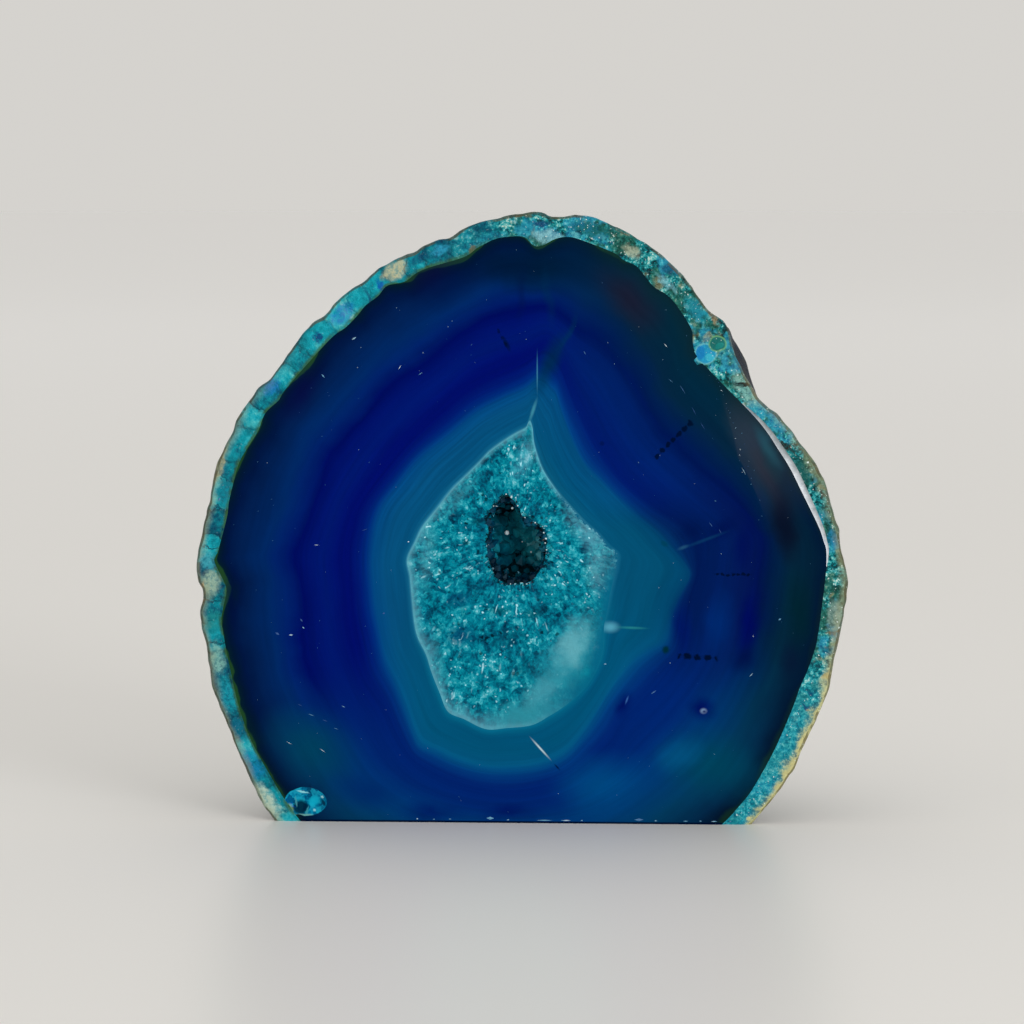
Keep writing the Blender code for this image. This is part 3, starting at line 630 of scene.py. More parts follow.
drift_outwards = share * (drift[0] * np.cos(angles) + drift[2] * np.sin(angles))
window = BULGE_WINDOW["rise"] * np.exp(-((angles - BULGE_WINDOW["angle"]) / BULGE_WINDOW["half"]) ** 2)
tuck = np.clip(TUCK_RIGHT * np.cos(angles) + TUCK_ABOVE * np.sin(angles), 0.0, None)
free = reach + push * dome_share(share) + drift_outwards
allowed = edge - tuck * depth + window
reach = -TUCK_SOFTNESS * np.logaddexp(-free / TUCK_SOFTNESS, -allowed / TUCK_SOFTNESS) - drift_outwards
back = polar(reach, angles[None, :], FACE_Y + depth + push * share) + drift * share[..., None]
summit = back[-1].mean(axis=0) + (0.0, 0.3, 0.0)

grid = np.concatenate([hollow, face, rim, back])
rim_band = 6.0 + 0.0 * rim[..., 0] + 0.02 * turn_steps
bands = np.concatenate([wall_band, band, rim_band, 6.1 + 0.9 * eased + 0.0 * push])
hollow_floor = (HOLLOW_CENTRE[0], FACE_Y + HOLLOW_DEPTH, HOLLOW_CENTRE[1])
stone_mesh = net_mesh("agate_stone", grid, hollow_floor, summit)
band_layer = stone_mesh.attributes.new("band", "FLOAT", "POINT")
band_layer.data.foreach_set("value", np.concatenate([[-3.0], bands.ravel(), [7.0]]))
# Millimetres beyond the crease on the face, and the roughness of the back
beyond_crease = np.clip(face_radii - crease, 0.0, 1.0)
relief = np.concatenate([0.0 * wall_band, beyond_crease, 0.0 * rim[..., 0], roughness])
relief_layer = stone_mesh.attributes.new("relief", "FLOAT", "POINT")
relief_layer.data.foreach_set("value", np.concatenate([[0.0], relief.ravel(), [0.0]]))

# The saw cut below, closed with one flat face
solid = bmesh.new()
solid.from_mesh(stone_mesh)
cut = bmesh.ops.bisect_plane(solid, geom=solid.verts[:] + solid.edges[:] + solid.faces[:], dist=1e-7,
                             plane_co=(0.0, 0.0, 0.0), plane_no=(0.0, 0.0, -1.0), clear_outer=True)
cut_edges = [piece for piece in cut["geom_cut"] if isinstance(piece, bmesh.types.BMEdge)]
bmesh.ops.contextual_create(solid, geom=cut_edges)
bmesh.ops.recalc_face_normals(solid, faces=solid.faces)
solid.to_mesh(stone_mesh)
solid.free()
stone = bpy.data.objects.new("agate_stone", stone_mesh)
bpy.context.collection.objects.link(stone)


# Polished face
# Chalcedony dyed blue and polished to a mirror. Colour follows the bands: teal ring, two ultramarine lines,
# a blue zone and an ink-dark margin, with dye that soaked in unevenly to the right, above and below.
UPPER_LEFT_DYE = [
    (1, (60, 140, 166)), (1.04, (16, 96, 132)), (1.14, (5, 78, 118)), (1.6, (6, 77, 122)),
    (1.9, (3, 70, 126)), (2, (2, 54, 122)), (2.15, (0, 38, 116)), (2.4, (1, 22, 108)), (2.8, (1, 6, 99)),
    (3.1, (1, 6, 99)), (3.45, (1, 19, 106)), (3.7, (1, 14, 102)), (4, (0, 4, 88)), (4.22, (1, 30, 100)),
    (4.4, (1, 38, 96)), (4.7, (2, 27, 72)), (4.85, (1, 16, 54)), (4.93, (2, 18, 38)),
    (4.985, (4, 26, 26)), (5, (30, 66, 20)),
]
UPPER_RIGHT_DYE = [
    (1, (44, 122, 148)), (1.04, (8, 86, 118)), (1.3, (3, 77, 114)), (1.9, (4, 75, 121)),
    (2, (2, 58, 121)), (2.3, (2, 43, 115)), (2.8, (1, 23, 103)), (3.05, (1, 21, 99)), (3.5, (1, 30, 101)),
    (3.8, (1, 26, 90)), (4, (0, 17, 77)), (4.2, (1, 26, 70)), (4.45, (4, 33, 54)), (4.8, (3, 36, 48)),
    (5, (10, 34, 34)),
]
RIGHT_DYE = [
    (1, (20, 96, 126)), (1.06, (4, 78, 111)), (1.6, (3, 76, 109)), (1.9, (2, 66, 102)),
    (2.1, (2, 48, 96)), (2.4, (2, 34, 88)), (2.9, (1, 20, 76)), (3.2, (1, 23, 80)), (3.5, (2, 24, 84)),
    (3.8, (3, 18, 78)), (4, (1, 11, 70)), (4.2, (1, 24, 60)), (4.5, (3, 34, 50)), (4.75, (3, 28, 42)),
    (4.93, (2, 20, 38)), (5, (6, 24, 30)),
]
LOWER_DYE = [
    (1, (12, 108, 137)), (1.05, (4, 98, 130)), (1.2, (2, 81, 116)), (1.6, (2, 81, 116)),
    (1.9, (4, 86, 127)), (2, (3, 76, 127)), (2.3, (2, 54, 119)), (2.7, (2, 36, 109)), (3, (1, 32, 106)),
    (3.5, (1, 37, 108)), (3.8, (1, 48, 111)), (4.1, (1, 57, 114)), (4.5, (3, 58, 92)), (4.8, (3, 36, 64)),
    (4.94, (3, 18, 34)), (5, (16, 40, 22)),
]
# x, z, half length, half height in millimetres, tilt in degrees, colour, strength
DYE_CLOUDS = [
    (5, 89.5, 12, 6, 0, (0, 25, 44), 0.85), (-12.5, 88.5, 7, 4, 28, (8, 4, 46), 0.7),
    (-34, 69.5, 7.5, 3.4, 56, (6, 3, 54), 0.75), (-45.3, 36, 8, 1.5, 87, (0, 8, 48), 0.75),
    (18.2, 84.6, 9.5, 4.2, -45, (24, 25, 38), 0.95), (29, 70, 10, 5, -60, (0, 36, 54), 0.55),
    (37.6, 61.5, 10, 3.6, -62, (30, 46, 56), 0.9), (43, 49.5, 10, 3.4, -76, (9, 13, 20), 0.95),
    (39.8, 57, 7.5, 2.2, -66, (36, 34, 40), 0.55), (40.4, 60.8, 5.5, 1.5, -58, (22, 72, 84), 0.85),
    (45.6, 35, 9, 3.2, -86, (1, 30, 30), 0.85), (44.2, 26.5, 5, 2.6, 80, (6, 14, 36), 0.65),
    (33, 33.2, 7, 3, 82, (0, 38, 106), 0.95), (26.8, 32.5, 6.5, 2.4, 88, (0, 14, 92), 0.8),
    (37.2, 32.6, 7.5, 2.2, 84, (0, 2, 84), 0.9), (28.1, 47.7, 3.4, 2.6, 20, (0, 10, 62), 0.55),
    (33.5, 48.3, 4.2, 2.6, 30, (0, 6, 66), 0.65), (36.9, 45, 5.5, 2.4, 84, (0, 5, 78), 0.7),
    (5.8, 74.2, 7.5, 2.4, 66, (0, 40, 62), 0.75), (32, 9.5, 11, 7.5, -14, (0, 66, 88), 0.9),
    (23.5, 20, 9, 6, 40, (0, 34, 110), 0.6), (14, 6.5, 10, 6.5, 10, (0, 76, 132), 0.8),
    (-33, 12, 10, 7.5, -35, (1, 64, 90), 0.9), (-13.6, 1.6, 7, 2.4, 0, (0, 4, 90), 0.65),
    (-0.7, 1.6, 6.5, 2, 0, (0, 3, 86), 0.65), (17.8, 19.1, 1.7, 2.8, -12, (0, 8, 86), 0.9),
    (30.3, 18.4, 3.2, 2.8, 0, (0, 8, 86), 0.95), (8.5, 79, 5, 0.8, 66, (0, 56, 70), 0.3),
    (5.6, 85.5, 1.2, 7, 3, (0, 40, 74), 0.4), (1.2, 86, 1.2, 7, -3, (2, 14, 62), 0.4),
    (-24, 5, 8, 4, -10, (0, 34, 100), 0.6), (-1.5, 89.6, 13, 5, 6, (0, 18, 42), 0.8),
    (-10.5, 86, 8, 4, 26, (0, 14, 58), 0.65), (26.5, 11, 5.5, 4, 30, (4, 84, 130), 0.75),
    (36.5, 27, 4, 2.6, 70, (0, 6, 58), 0.7), (43.6, 47.5, 7, 2.6, -78, (6, 8, 12), 0.8),
    (41, 58, 4.5, 1.6, -64, (0, 44, 52), 0.6),
]
# Straight hairlines: the seam above the tip of the core, a healed crack, a pale streak and a comet
HAIRLINES = [
    (3, 66.8, 2.6, 0.42, 72, (60, 140, 160), 0.85), (3.65, 72.8, 4.4, 0.17, 90, (66, 146, 172), 0.6),
    (4.2, 12.2, 3, 0.24, -48, (190, 214, 220), 0.95), (6.9, 9.2, 1, 0.22, -48, (0, 14, 40), 0.9),
    (30.4, 46.1, 5.4, 0.42, 21, (14, 64, 104), 0.45), (27, 44.9, 1.3, 0.45, 21, (50, 110, 140), 0.35),
    (15.4, 32, 2, 1.25, 0, (84, 166, 190), 0.85), (18.8, 31.9, 3.4, 0.34, -2, (40, 140, 140), 0.6),
    (18.1, 20.2, 0.22, 1, -20, (60, 110, 180), 0.7), (30.4, 18.5, 0.75, 0.62, 0, (140, 170, 205), 0.85),
    (30.5, 18.4, 0.52, 0.42, 0, (0, 12, 80), 0.95),
]
# Small blots of dark mineral shut in the stone
INCLUSIONS = [
    (24.3, 28.4, 0.9, 0.8, 60, (0, 40, 34), 0.9), (-1.2, 77.3, 1.6, 0.5, -65, (0, 8, 40), 0.7),
    (14, 61.5, 0.5, 0.5, 0, (0, 10, 60), 0.6), (24, 45.5, 1, 0.6, -30, (0, 60, 80), 0.7),
]
# Rows of dark specks: x, z, half length, half width of a speck, spacing, tilt in degrees, strength
SPECK_ROWS = [
    (25.4, 62.2, 4.6, 0.46, 1.22, 45, 0.85), (35, 40.6, 3.2, 0.26, 0.8, 0, 0.8),
    (29.4, 27.2, 3.4, 0.55, 1.65, -3, 0.9), (-2, 78.4, 1.8, 0.32, 1.2, -62, 0.6),
]

# The chip at the lower left: dark hollow, turquoise flanks, and painted highlights along its edges
POCKET_MARKS = [
    (-34.7, 2.2, 1.75, 1.55, 0, (0, 30, 48), 0.95), (-32.5, 3.2, 1.35, 1, 40, (16, 176, 206), 0.9),
    (-34.3, 4.7, 1.3, 0.22, -14, (150, 228, 238), 0.9),
    (-31.15, 3.95, 0.3, 0.28, 0, (170, 226, 234), 0.85),
    (-32.4, 1.75, 0.3, 0.28, 0, (150, 216, 226), 0.85), (-36.5, 2, 0.9, 1, 20, (110, 146, 96), 0.85),
    (-35.4, 3.1, 0.2, 1.1, 8, (70, 150, 160), 0.8), (-33.6, 1.6, 0.22, 1, -12, (60, 150, 164), 0.8),
    (-34.4, 1, 2.4, 0.22, 0, (120, 176, 160), 0.7), (-30.9, 3, 0.3, 0.7, 30, (0, 44, 66), 0.8),
]


# A mark is this deep, in millimetres, so that it holds all over the face's relief
ANY_DEPTH = 1000.0


def site(wire):
    """Where a point of the stone lies: place in millimetres, band, and its heading right and up."""
    place = wire.node("TexCoord", take=3).stretch(1.0 / MM)
    band_value = wire.reading("band")
    offset = place.vector("SUBTRACT", place, (HOLLOW_CENTRE[0], FACE_Y, HOLLOW_CENTRE[1]))
    flat = offset.vector("MULTIPLY", offset, (1.0, 0.0, 1.0))
    heading = flat.vector("NORMALIZE", flat).parts()
    return place, band_value, heading[0], heading[2]


def ramp_of_bands(wire, band_value, dyes):
    """Colour by band: each stop is given at its band number."""
    low, high = dyes[0][0], dyes[-1][0]
    stops = [((number - low) / (high - low), colour) for number, colour in dyes]
    return wire.ramp((band_value - low) * (1.0 / (high - low)), stops)


def settled(place, x, z, tilt, scale=(1.0, 1.0, 1.0)):
    """The place as read from a point of the face, on axes turned by tilt in degrees, in units of scale."""
    return place.node("Mapping", {"vector_type": "TEXTURE"},
                      {"Vector": place, "Location": (x, FACE_Y, z), "Scale": scale,
                       "Rotation": (0.0, -math.radians(tilt), 0.0)})


def ellipse(place, x, z, long, short, tilt, edge_from=0.2):
    """Ellipse on the face, turned by tilt in degrees: 1 from edge_from inwards and 0 beyond its rim."""
    local = settled(place, x, z, tilt, (long, ANY_DEPTH, short))
    return local.vector("LENGTH", local, take=1).rise(1.0, edge_from)


def stain(place, colour, marks, edge_from=0.2):
    """Lays one ellipse of colour after another over a colour."""
    for x, z, long, short, tilt, tone, strength in marks:
        colour = place.mix(ellipse(place, x, z, long, short, tilt, edge_from) * strength, colour, tone)
    return colour


def shaken(place, size, reach):
    """The place moved about by noise, which roughens the outline of a mark."""
    shift = place.noise(place, size, 3.0, 0.6, take=1)
    return place.vector("ADD", place, shift.vector("SUBTRACT", shift, (0.5, 0.5, 0.5)).stretch(reach))


polish, polish_shader, w = new_finish("polished_agate", Roughness=0.06, IOR=1.54, Specular_IOR_Level=0.20,
                                      Specular_Tint=(0.01, 0.18, 1.0, 1.0))
place, band_value, to_right, to_top = site(w)
soft_place = shaken(place, 9.0, 3.5)
blur = band_value.rise(1.6, 3.5) * 0.34
zone = band_value + (w.noise(place, 9.0, 3.0) - 0.5) * blur
colour = ramp_of_bands(w, zone, UPPER_LEFT_DYE)
colour = w.mix(to_right.rise(0.0, 0.5), colour, ramp_of_bands(w, zone, UPPER_RIGHT_DYE))
colour = w.mix(to_right.rise(0.2, 0.8) * to_top.rise(0.45, 0.05), colour, ramp_of_bands(w, zone, RIGHT_DYE))
colour = w.mix((to_top - to_right * 0.12).rise(-0.42, -0.92), colour, ramp_of_bands(w, zone, LOWER_DYE))
colour = stain(soft_place, colour, DYE_CLOUDS, 0.0)
streak = w.flow((band_value * 9.0, to_right * 1.6, to_top * 1.6), 4.0, 0.6)
thin_line = w.flow((band_value * 24.0, to_right * 1.2, to_top * 1.2), 1.0, 0.5)
in_ring = band_value.rise(2.1, 1.9) * to_top.rise(-0.3, 0.5)
strata = 1.0 + (streak - 0.5) * 0.55 + (thin_line - 0.5) * in_ring * 0.5
colour = w.node("HueSaturation", None, {"Value": strata, "Color": colour})
colour = stain(shaken(place, 1.0, 0.4), colour, INCLUSIONS, 0.3)
ragged = shaken(place, 1.0, 1.0)
grown = 0.3 + w.noise(place, 1.3, 2.0) * 1.5
for x, z, half, size, spacing, tilt, strength in SPECK_ROWS:
    along, through, across = settled(ragged, x, z, tilt).parts()
    nearest = along.maths("PINGPONG", along + 50.0 * spacing, 0.5 * spacing)
    speck = ((nearest * nearest * 0.6 + across * across) / (grown * size ** 2)).rise(1.0, 0.3)
    thread = across.maths("ABSOLUTE", across).rise(0.6 * size, 0.1) * 0.22
    in_row = along.maths("ABSOLUTE", along).rise(half, 0.85 * half)
    colour = w.mix(speck.maths("MAXIMUM", speck, thread) * in_row * strength, colour, (0, 4, 18))
# Painted reflection: beyond the ridge the side facet is greyed a little, as if it mirrored the room.
facet_reflection_share = w.reading("relief").rise(0.0, 0.35)
colour = w.mix(facet_reflection_share * to_top.rise(0.05, 0.30) * to_top.rise(0.62, 0.42) * 0.10, colour, (84, 84, 92))
colour = stain(place, colour, HAIRLINES, 0.05)
# Painted shadow: the face darkens along its foot, where it stands on the floor.
level = place.parts()[2]
colour = w.mix(level.rise(0.40, 0.22), colour, (0, 8, 32))
lens = ellipse(shaken(place, 1.4, 0.35), POCKET["middle"], POCKET["level"], POCKET["half"], POCKET["rise"],
               0.0, 0.95)
shards = w.cell_shade(shaken(place, 0.9, 0.8), 0.9) - 0.5
inside = w.ramp(shards * 0.5 + w.noise(place, 0.7, 3.0, 0.7),
                [(0.30, (0, 84, 124)), (0.50, (4, 122, 160)), (0.72, (24, 160, 190))])
inside = stain(shaken(place, 0.7, 0.45), inside, POCKET_MARKS, 0.45)
colour = w.mix(lens, colour, inside)
feed(polish_shader, "Base Color", colour)


# Crystal core
# Coarse quartz grown inwards from the last band, ground flush with the face and still open in its pores.
# Its rim is a pale fringe of fine fibres, and at the lower right it clouds over to a smooth milky patch.
HAZE = [
    (11.8, 47.6, 7.4, 3.2, -48, (92, 158, 180), 0.66), (2, 59.6, 5.6, 2.3, 66, (96, 164, 188), 0.5),
    (-14.2, 43, 8, 2.1, 84, (72, 152, 170), 0.55), (-9.2, 52.6, 7, 1.8, 48, (66, 148, 166), 0.5),
    (9.6, 52.6, 6, 1.6, -52, (84, 158, 174), 0.5), (-12.4, 27.4, 7, 1.2, 108, (60, 146, 164), 0.45),
    (13.4, 41.4, 5.6, 2.8, -84, (92, 158, 176), 0.62),
]
DARK_PATCHES = [
    (-8.9, 36.4, 2.8, 1.8, 0, (0, 66, 106), 0.75), (-8.7, 30.4, 3.6, 2.6, 20, (0, 62, 102), 0.75),
    (3.4, 34.2, 3, 1.4, 12, (0, 46, 66), 0.65), (-2.5, 34.6, 1, 2.6, 90, (0, 34, 48), 0.55),
    (-7.8, 45.6, 0.8, 0.8, 0, (0, 34, 52), 0.8), (-5.6, 49, 2.4, 0.7, 8, (0, 36, 54), 0.7),
    (-1, 30, 3.6, 2, 40, (0, 66, 88), 0.45), (1, 25, 3, 1.6, 30, (0, 70, 92), 0.4),
]
MILKY_CLOUDS = [
    (9.6, 26.2, 12.8, 7, 56, (36, 140, 160), 0.95), (1.6, 18, 8.5, 3.6, 18, (44, 142, 160), 0.95),
    (9.4, 29, 6.2, 3.4, 66, (96, 172, 186), 0.9), (4.6, 21.6, 5, 2.6, 42, (68, 154, 172), 0.75),
    (11.8, 24, 4.2, 2.2, 62, (4, 146, 164), 0.8),
]

core_finish, core_shader, w = new_finish("crystal_core", IOR=1.54, Roughness=0.32, Specular_IOR_Level=0.05,
                                         Specular_Tint=(0.25, 0.7, 1.0, 1.0))
place, band_value, to_right, to_top = site(w)
bent = shaken(place, 1.8, 1.5)
fibres = w.flow((to_right * 21.0, band_value * 2.4, to_top * 21.0), 3.0, 0.6)
needle_place = w.node("CombineXYZ", None, {0: to_right * 24.0, 1: band_value * 8.0, 2: to_top * 24.0})
needles = w.cell_shade(shaken(needle_place, 1.2, 1.0), 1.0)
clouds = w.noise(place, 4.2, 4.0, 0.62)
grain = w.noise(place, 0.7, 4.0, 0.78, 0.6)
flats = w.cell_shade(bent, 0.85)
chips = w.cell_shade(bent, 0.42, 1)
blots = w.noise(bent, 1.7, 3.0, 0.6)
tone = (clouds - 0.5) * 0.55 + (fibres - 0.5) * 0.26 + (needles - 0.5) * 0.10 + (grain - 0.5) * 0.50
tone = tone + (blots - 0.5) * 0.70 + (flats - 0.5) * 0.20 + (chips - 0.5) * 0.14 + 0.49
colour = w.ramp(tone, [(0.18, (0, 40, 66)), (0.34, (0, 78, 104)), (0.46, (0, 110, 134)),
                       (0.58, (4, 138, 158)), (0.70, (50, 168, 184)), (0.86, (146, 210, 222))])
hazy = shaken(place, 2.0, 2.4)
streaks = 0.55 + (fibres + (needles - 0.5) * 0.5).rise(0.36, 0.62) * 0.45
for x, z, long, short, tilt, tint, strength in HAZE:
    colour = w.mix(ellipse(hazy, x, z, long, short, tilt, 0.0) * streaks * strength, colour, tint)
colour = stain(shaken(place, 0.9, 1.3), colour, DARK_PATCHES, 0.1)
low_right = to_right.rise(0.05, 0.45) * to_top.rise(-0.10, -0.45)
fringe = (band_value + (fibres - 0.5) * 0.14).rise(0.87, 0.99) * 0.45 + band_value.rise(0.962, 0.985) * 0.25
colour = w.mix(fringe * (1.0 - low_right), colour, (96, 166, 186))
# Painted highlights: pale glints on the crystal faces, gathered in clusters, made of colour alone.
clusters = w.noise(place, 4.2, 2.0).rise(0.46, 0.60)
pick = w.cell_shade(needle_place, 0.8, 2).rise(0.86, 0.97)
painted_glint = w.cells(shaken(needle_place, 0.6, 0.9), 0.8).rise(0.40, 0.14) * pick * (0.06 + 0.94 * clusters)
pick = w.cell_shade(bent, 0.45, 2).rise(0.86, 0.98)
painted_glint = painted_glint.maths("MAXIMUM", painted_glint, w.cells(bent, 0.45).rise(0.42, 0.26) * pick * clusters)
colour = w.mix(painted_glint * band_value.rise(1.0, 0.94) * 0.9, colour, (176, 232, 244))
pick = w.cell_shade(bent, 0.75).rise(0.20, 0.16)
black_specks = w.cells(bent, 0.75).rise(0.50, 0.30) * pick * w.noise(place, 3.6, 2.0).rise(0.48, 0.60)
colour = w.mix(black_specks * band_value.rise(0.85, 0.5) * 0.85, colour, (0, 20, 32))
colour = stain(shaken(place, 2.0, 4.2), colour, MILKY_CLOUDS, 0.1)
colour = w.mix((band_value + (clouds - 0.5) * 0.3).rise(0.78, 1.0) * low_right, colour, (4, 98, 130))
at_right = to_right.rise(0.55, 0.8) * to_top.rise(-0.5, -0.2)
colour = w.mix((band_value + (grain - 0.5) * 0.5).rise(0.93, 1.0) * at_right, colour, (8, 92, 124))
jags = w.noise(shaken(place, 1.0, 1.2), 0.6, 4.0, 0.8)
heavy_left = to_right.rise(0.1, -0.3) * to_top.rise(0.3, 0.7)
heavy_right = to_right.rise(0.5, 0.9)
lip_width = heavy_left * 0.055 + heavy_right * 0.045 - 0.01
dark_lip = (band_value + (jags - 0.5) * 0.50 - lip_width).rise(0.02, -0.01)
colour = w.mix(dark_lip * 0.92, colour, (2, 12, 24))
# Painted highlights on the dark lip: pale glints, reddish brown where the lip is heavy.
specks = w.cells(bent, 0.36, take=1).parts("SeparateColor")
painted_edge_glints = w.cells(bent, 0.36).rise(0.38, 0.20) * specks[1].rise(0.86, 0.90)
reddish_glint_share = heavy_right.maths("MAXIMUM", heavy_right, heavy_left) * specks[0].rise(0.5, 0.6)
colour = w.mix(painted_edge_glints * dark_lip, colour, w.mix(reddish_glint_share, (170, 200, 214), (140, 84, 76)))
feed(core_shader, "Base Color", colour)
raise_bumps(core_shader, w, (grain * 0.3 + flats * 0.15) * band_value.rise(1.0, 0.9), 0.5, 1.0)


# Ground bevel
# A narrow strip that the grinding wheel left at the right-hand edge, frosted and still shiny; its pale colour
# is partly frost and partly a painted reflection of the bright surround.
bevel_finish, bevel_shader, w = new_finish("ground_bevel", Roughness=0.30, IOR=1.54, Specular_IOR_Level=0.25)
place, band_value, to_right, to_top = site(w)
# Palest next to the rind and duller outwards and higher up: partly frost, partly painted reflection.
frost_and_reflection = (band_value - 5.0) * 2.2 + (w.noise(place, 1.6, 4.0, 0.7) - 0.5) * 0.9
frost_and_reflection = frost_and_reflection + to_top.rise(0.20, 0.42) * 0.35
feed(bevel_shader, "Base Color", w.ramp(frost_and_reflection, [(0.0, (196, 203, 210)), (0.35, (146, 154, 160)),
                                                   (0.70, (96, 106, 110)), (1.0, (60, 78, 82))]))


# Rind
# The outermost layer, coarse turquoise chalcedony: short smooth blocks with dark cracks on the left, loose
# grains on the right, stained tan, blue and brown in places, with a brown outer line and an olive inner one.
RIND_STAINS = [
    (-40.4, 2.9, 4.4, 2.2, -58, (176, 204, 188), 1.2), (-42.3, 9.2, 3.6, 1.8, -60, (6, 122, 172), 0.85),
    (-44.4, 14.9, 2.8, 1.8, -66, (6, 96, 126), 0.8), (-46.2, 20.6, 3.4, 1.9, -72, (18, 148, 168), 0.8),
    (-47.8, 26.6, 3.4, 1.4, -78, (122, 178, 168), 0.9), (-48.1, 29, 2.4, 0.28, 4, (0, 56, 74), 0.9),
    (-48.6, 32.6, 2.6, 2, 88, (22, 128, 132), 0.85), (-48.7, 35.9, 2.4, 0.28, -4, (0, 58, 78), 0.9),
    (-48.9, 38.9, 2.8, 2, 80, (150, 178, 158), 0.9), (-50.4, 37, 2.4, 0.5, 88, (190, 146, 96), 0.85),
    (-49.4, 42.4, 1.9, 1.5, 0, (64, 162, 180), 0.85), (-48.9, 44.3, 2.4, 0.24, -8, (0, 64, 84), 0.85),
    (-46.6, 53.5, 2.8, 1.6, 75, (4, 94, 116), 0.8), (-47.3, 58, 4, 0.9, 72, (164, 166, 134), 0.85),
    (-38.8, 70.2, 2.2, 1.5, 54, (14, 112, 180), 0.85), (-31.4, 78.4, 1.2, 0.8, 100, (0, 44, 110), 0.9),
    (-27.6, 82, 3.2, 1.8, 44, (8, 118, 186), 0.85), (-23.3, 85, 1.8, 0.35, 118, (0, 44, 96), 0.9),
    (-21.3, 86.7, 1.5, 0.7, 112, (0, 70, 166), 0.85), (-19, 89, 2.8, 1.7, 34, (188, 184, 146), 0.9),
    (-15.3, 90.9, 2, 1, 30, (0, 62, 100), 0.8), (-11.8, 92.3, 1.9, 1, 20, (44, 150, 188), 0.85),
    (-6.7, 92.4, 1, 0.7, 30, (120, 104, 66), 0.8), (5.2, 94.5, 3.2, 1.3, 0, (126, 184, 194), 0.95),
    (5.6, 93.2, 1, 0.7, 90, (116, 178, 190), 0.95), (4.1, 96.6, 2.2, 0.7, 0, (6, 36, 92), 0.85),
    (1.6, 98, 3.6, 0.6, 8, (98, 88, 50), 0.85), (12.5, 95.6, 4.6, 1.6, -12, (6, 84, 82), 0.9),
    (9.6, 94.6, 0.9, 0.7, 0, (90, 170, 176), 0.8), (13.8, 94.4, 1.1, 0.7, -20, (70, 156, 170), 0.8),
    (18.7, 92, 2.2, 1.2, -42, (160, 170, 146), 0.9), (24.7, 89.2, 1.9, 1, -42, (0, 46, 88), 0.85),
    (24.2, 87, 2.8, 0.8, -38, (112, 176, 188), 0.85), (28.7, 82.9, 3.4, 1.6, -52, (16, 134, 154), 0.75),
    (31.6, 81.6, 2, 0.7, -56, (150, 124, 84), 0.85), (33.8, 80.4, 1.1, 0.9, 60, (6, 8, 14), 0.95),
    (37, 70.2, 4.4, 1.7, -50, (130, 180, 170), 0.75), (36.5, 71.1, 2, 0.62, -6, (4, 4, 8), 1.2),
    (38.6, 69.8, 1.3, 0.6, -40, (150, 140, 120), 0.8), (43.5, 61, 2.3, 0.6, -40, (34, 28, 18), 1.1),
    (45.6, 57.4, 4, 1.3, -60, (12, 84, 84), 0.8), (49.6, 50, 2, 0.9, -66, (60, 130, 140), 0.6),
    (50.8, 46.6, 2, 1, -80, (12, 112, 152), 0.85), (51.3, 33.6, 3.6, 1.6, 84, (126, 152, 142), 0.85),
    (50.9, 31.2, 1.3, 0.6, 10, (112, 86, 50), 0.85), (50.2, 24.5, 1.3, 0.8, 20, (136, 104, 56), 0.9),
    (47.6, 21.4, 0.6, 0.6, 0, (0, 44, 106), 0.95), (46.8, 19.3, 1.1, 0.45, -58, (0, 44, 98), 0.9),
    (48.6, 15.6, 6.5, 0.9, 62, (180, 178, 134), 0.9), (43.6, 5, 5, 1.2, 58, (196, 192, 142), 0.9),
]
ROUND_CRYSTAL_COLOURS = [
    (30.4, 75.9, 1.95, 1.85, 0, (116, 192, 196), 0.9), (30.4, 75.9, 1.76, 1.66, 0, (16, 142, 186), 0.95),
    (29.6, 76.1, 0.8, 1.2, 0, (0, 96, 180), 0.5), (31.1, 75.3, 0.8, 0.7, 0, (60, 180, 200), 0.7),
    (32.3, 77.5, 1.6, 1.42, 0, (104, 164, 110), 0.9), (32.3, 77.5, 1.36, 1.18, 0, (6, 100, 98), 0.95),
    (32.6, 77.2, 0.8, 0.5, 30, (20, 136, 130), 0.6),
]

rind_finish, rind_shader, w = new_finish("turquoise_rind", IOR=1.54, Roughness=0.30, Specular_IOR_Level=0.16,
                                         Specular_Tint=(0.4, 0.8, 1.0, 1.0))
place, band_value, to_right, to_top = site(w)
wander = w.noise(place, 3.0, 3.0, 0.6)
along = to_right.maths("ARCTAN2", to_right, to_top) * 50.0 + (wander - 0.5) * 5.0
settings = {"voronoi_dimensions": "1D"}
block = w.node("TexVoronoi", settings, {"W": along, "Scale": 0.22}, take=1).parts("SeparateColor")[0]
gap = w.node("TexVoronoi", dict(settings, feature="DISTANCE_TO_EDGE"), {"W": along, "Scale": 0.22})
grit = w.noise(place, 0.7, 4.0, 0.75)
cloud = w.noise(place, 2.8, 4.0, 0.65)
tone = (block - 0.5) * 0.36 + (cloud - 0.5) * 0.75 + (grit - 0.5) * 0.28 + 0.5
blocks = w.ramp(tone, [(0.16, (0, 48, 78)), (0.30, (0, 92, 112)), (0.42, (2, 124, 138)),
                       (0.56, (10, 150, 166)), (0.70, (62, 174, 180)), (0.86, (160, 206, 192))])
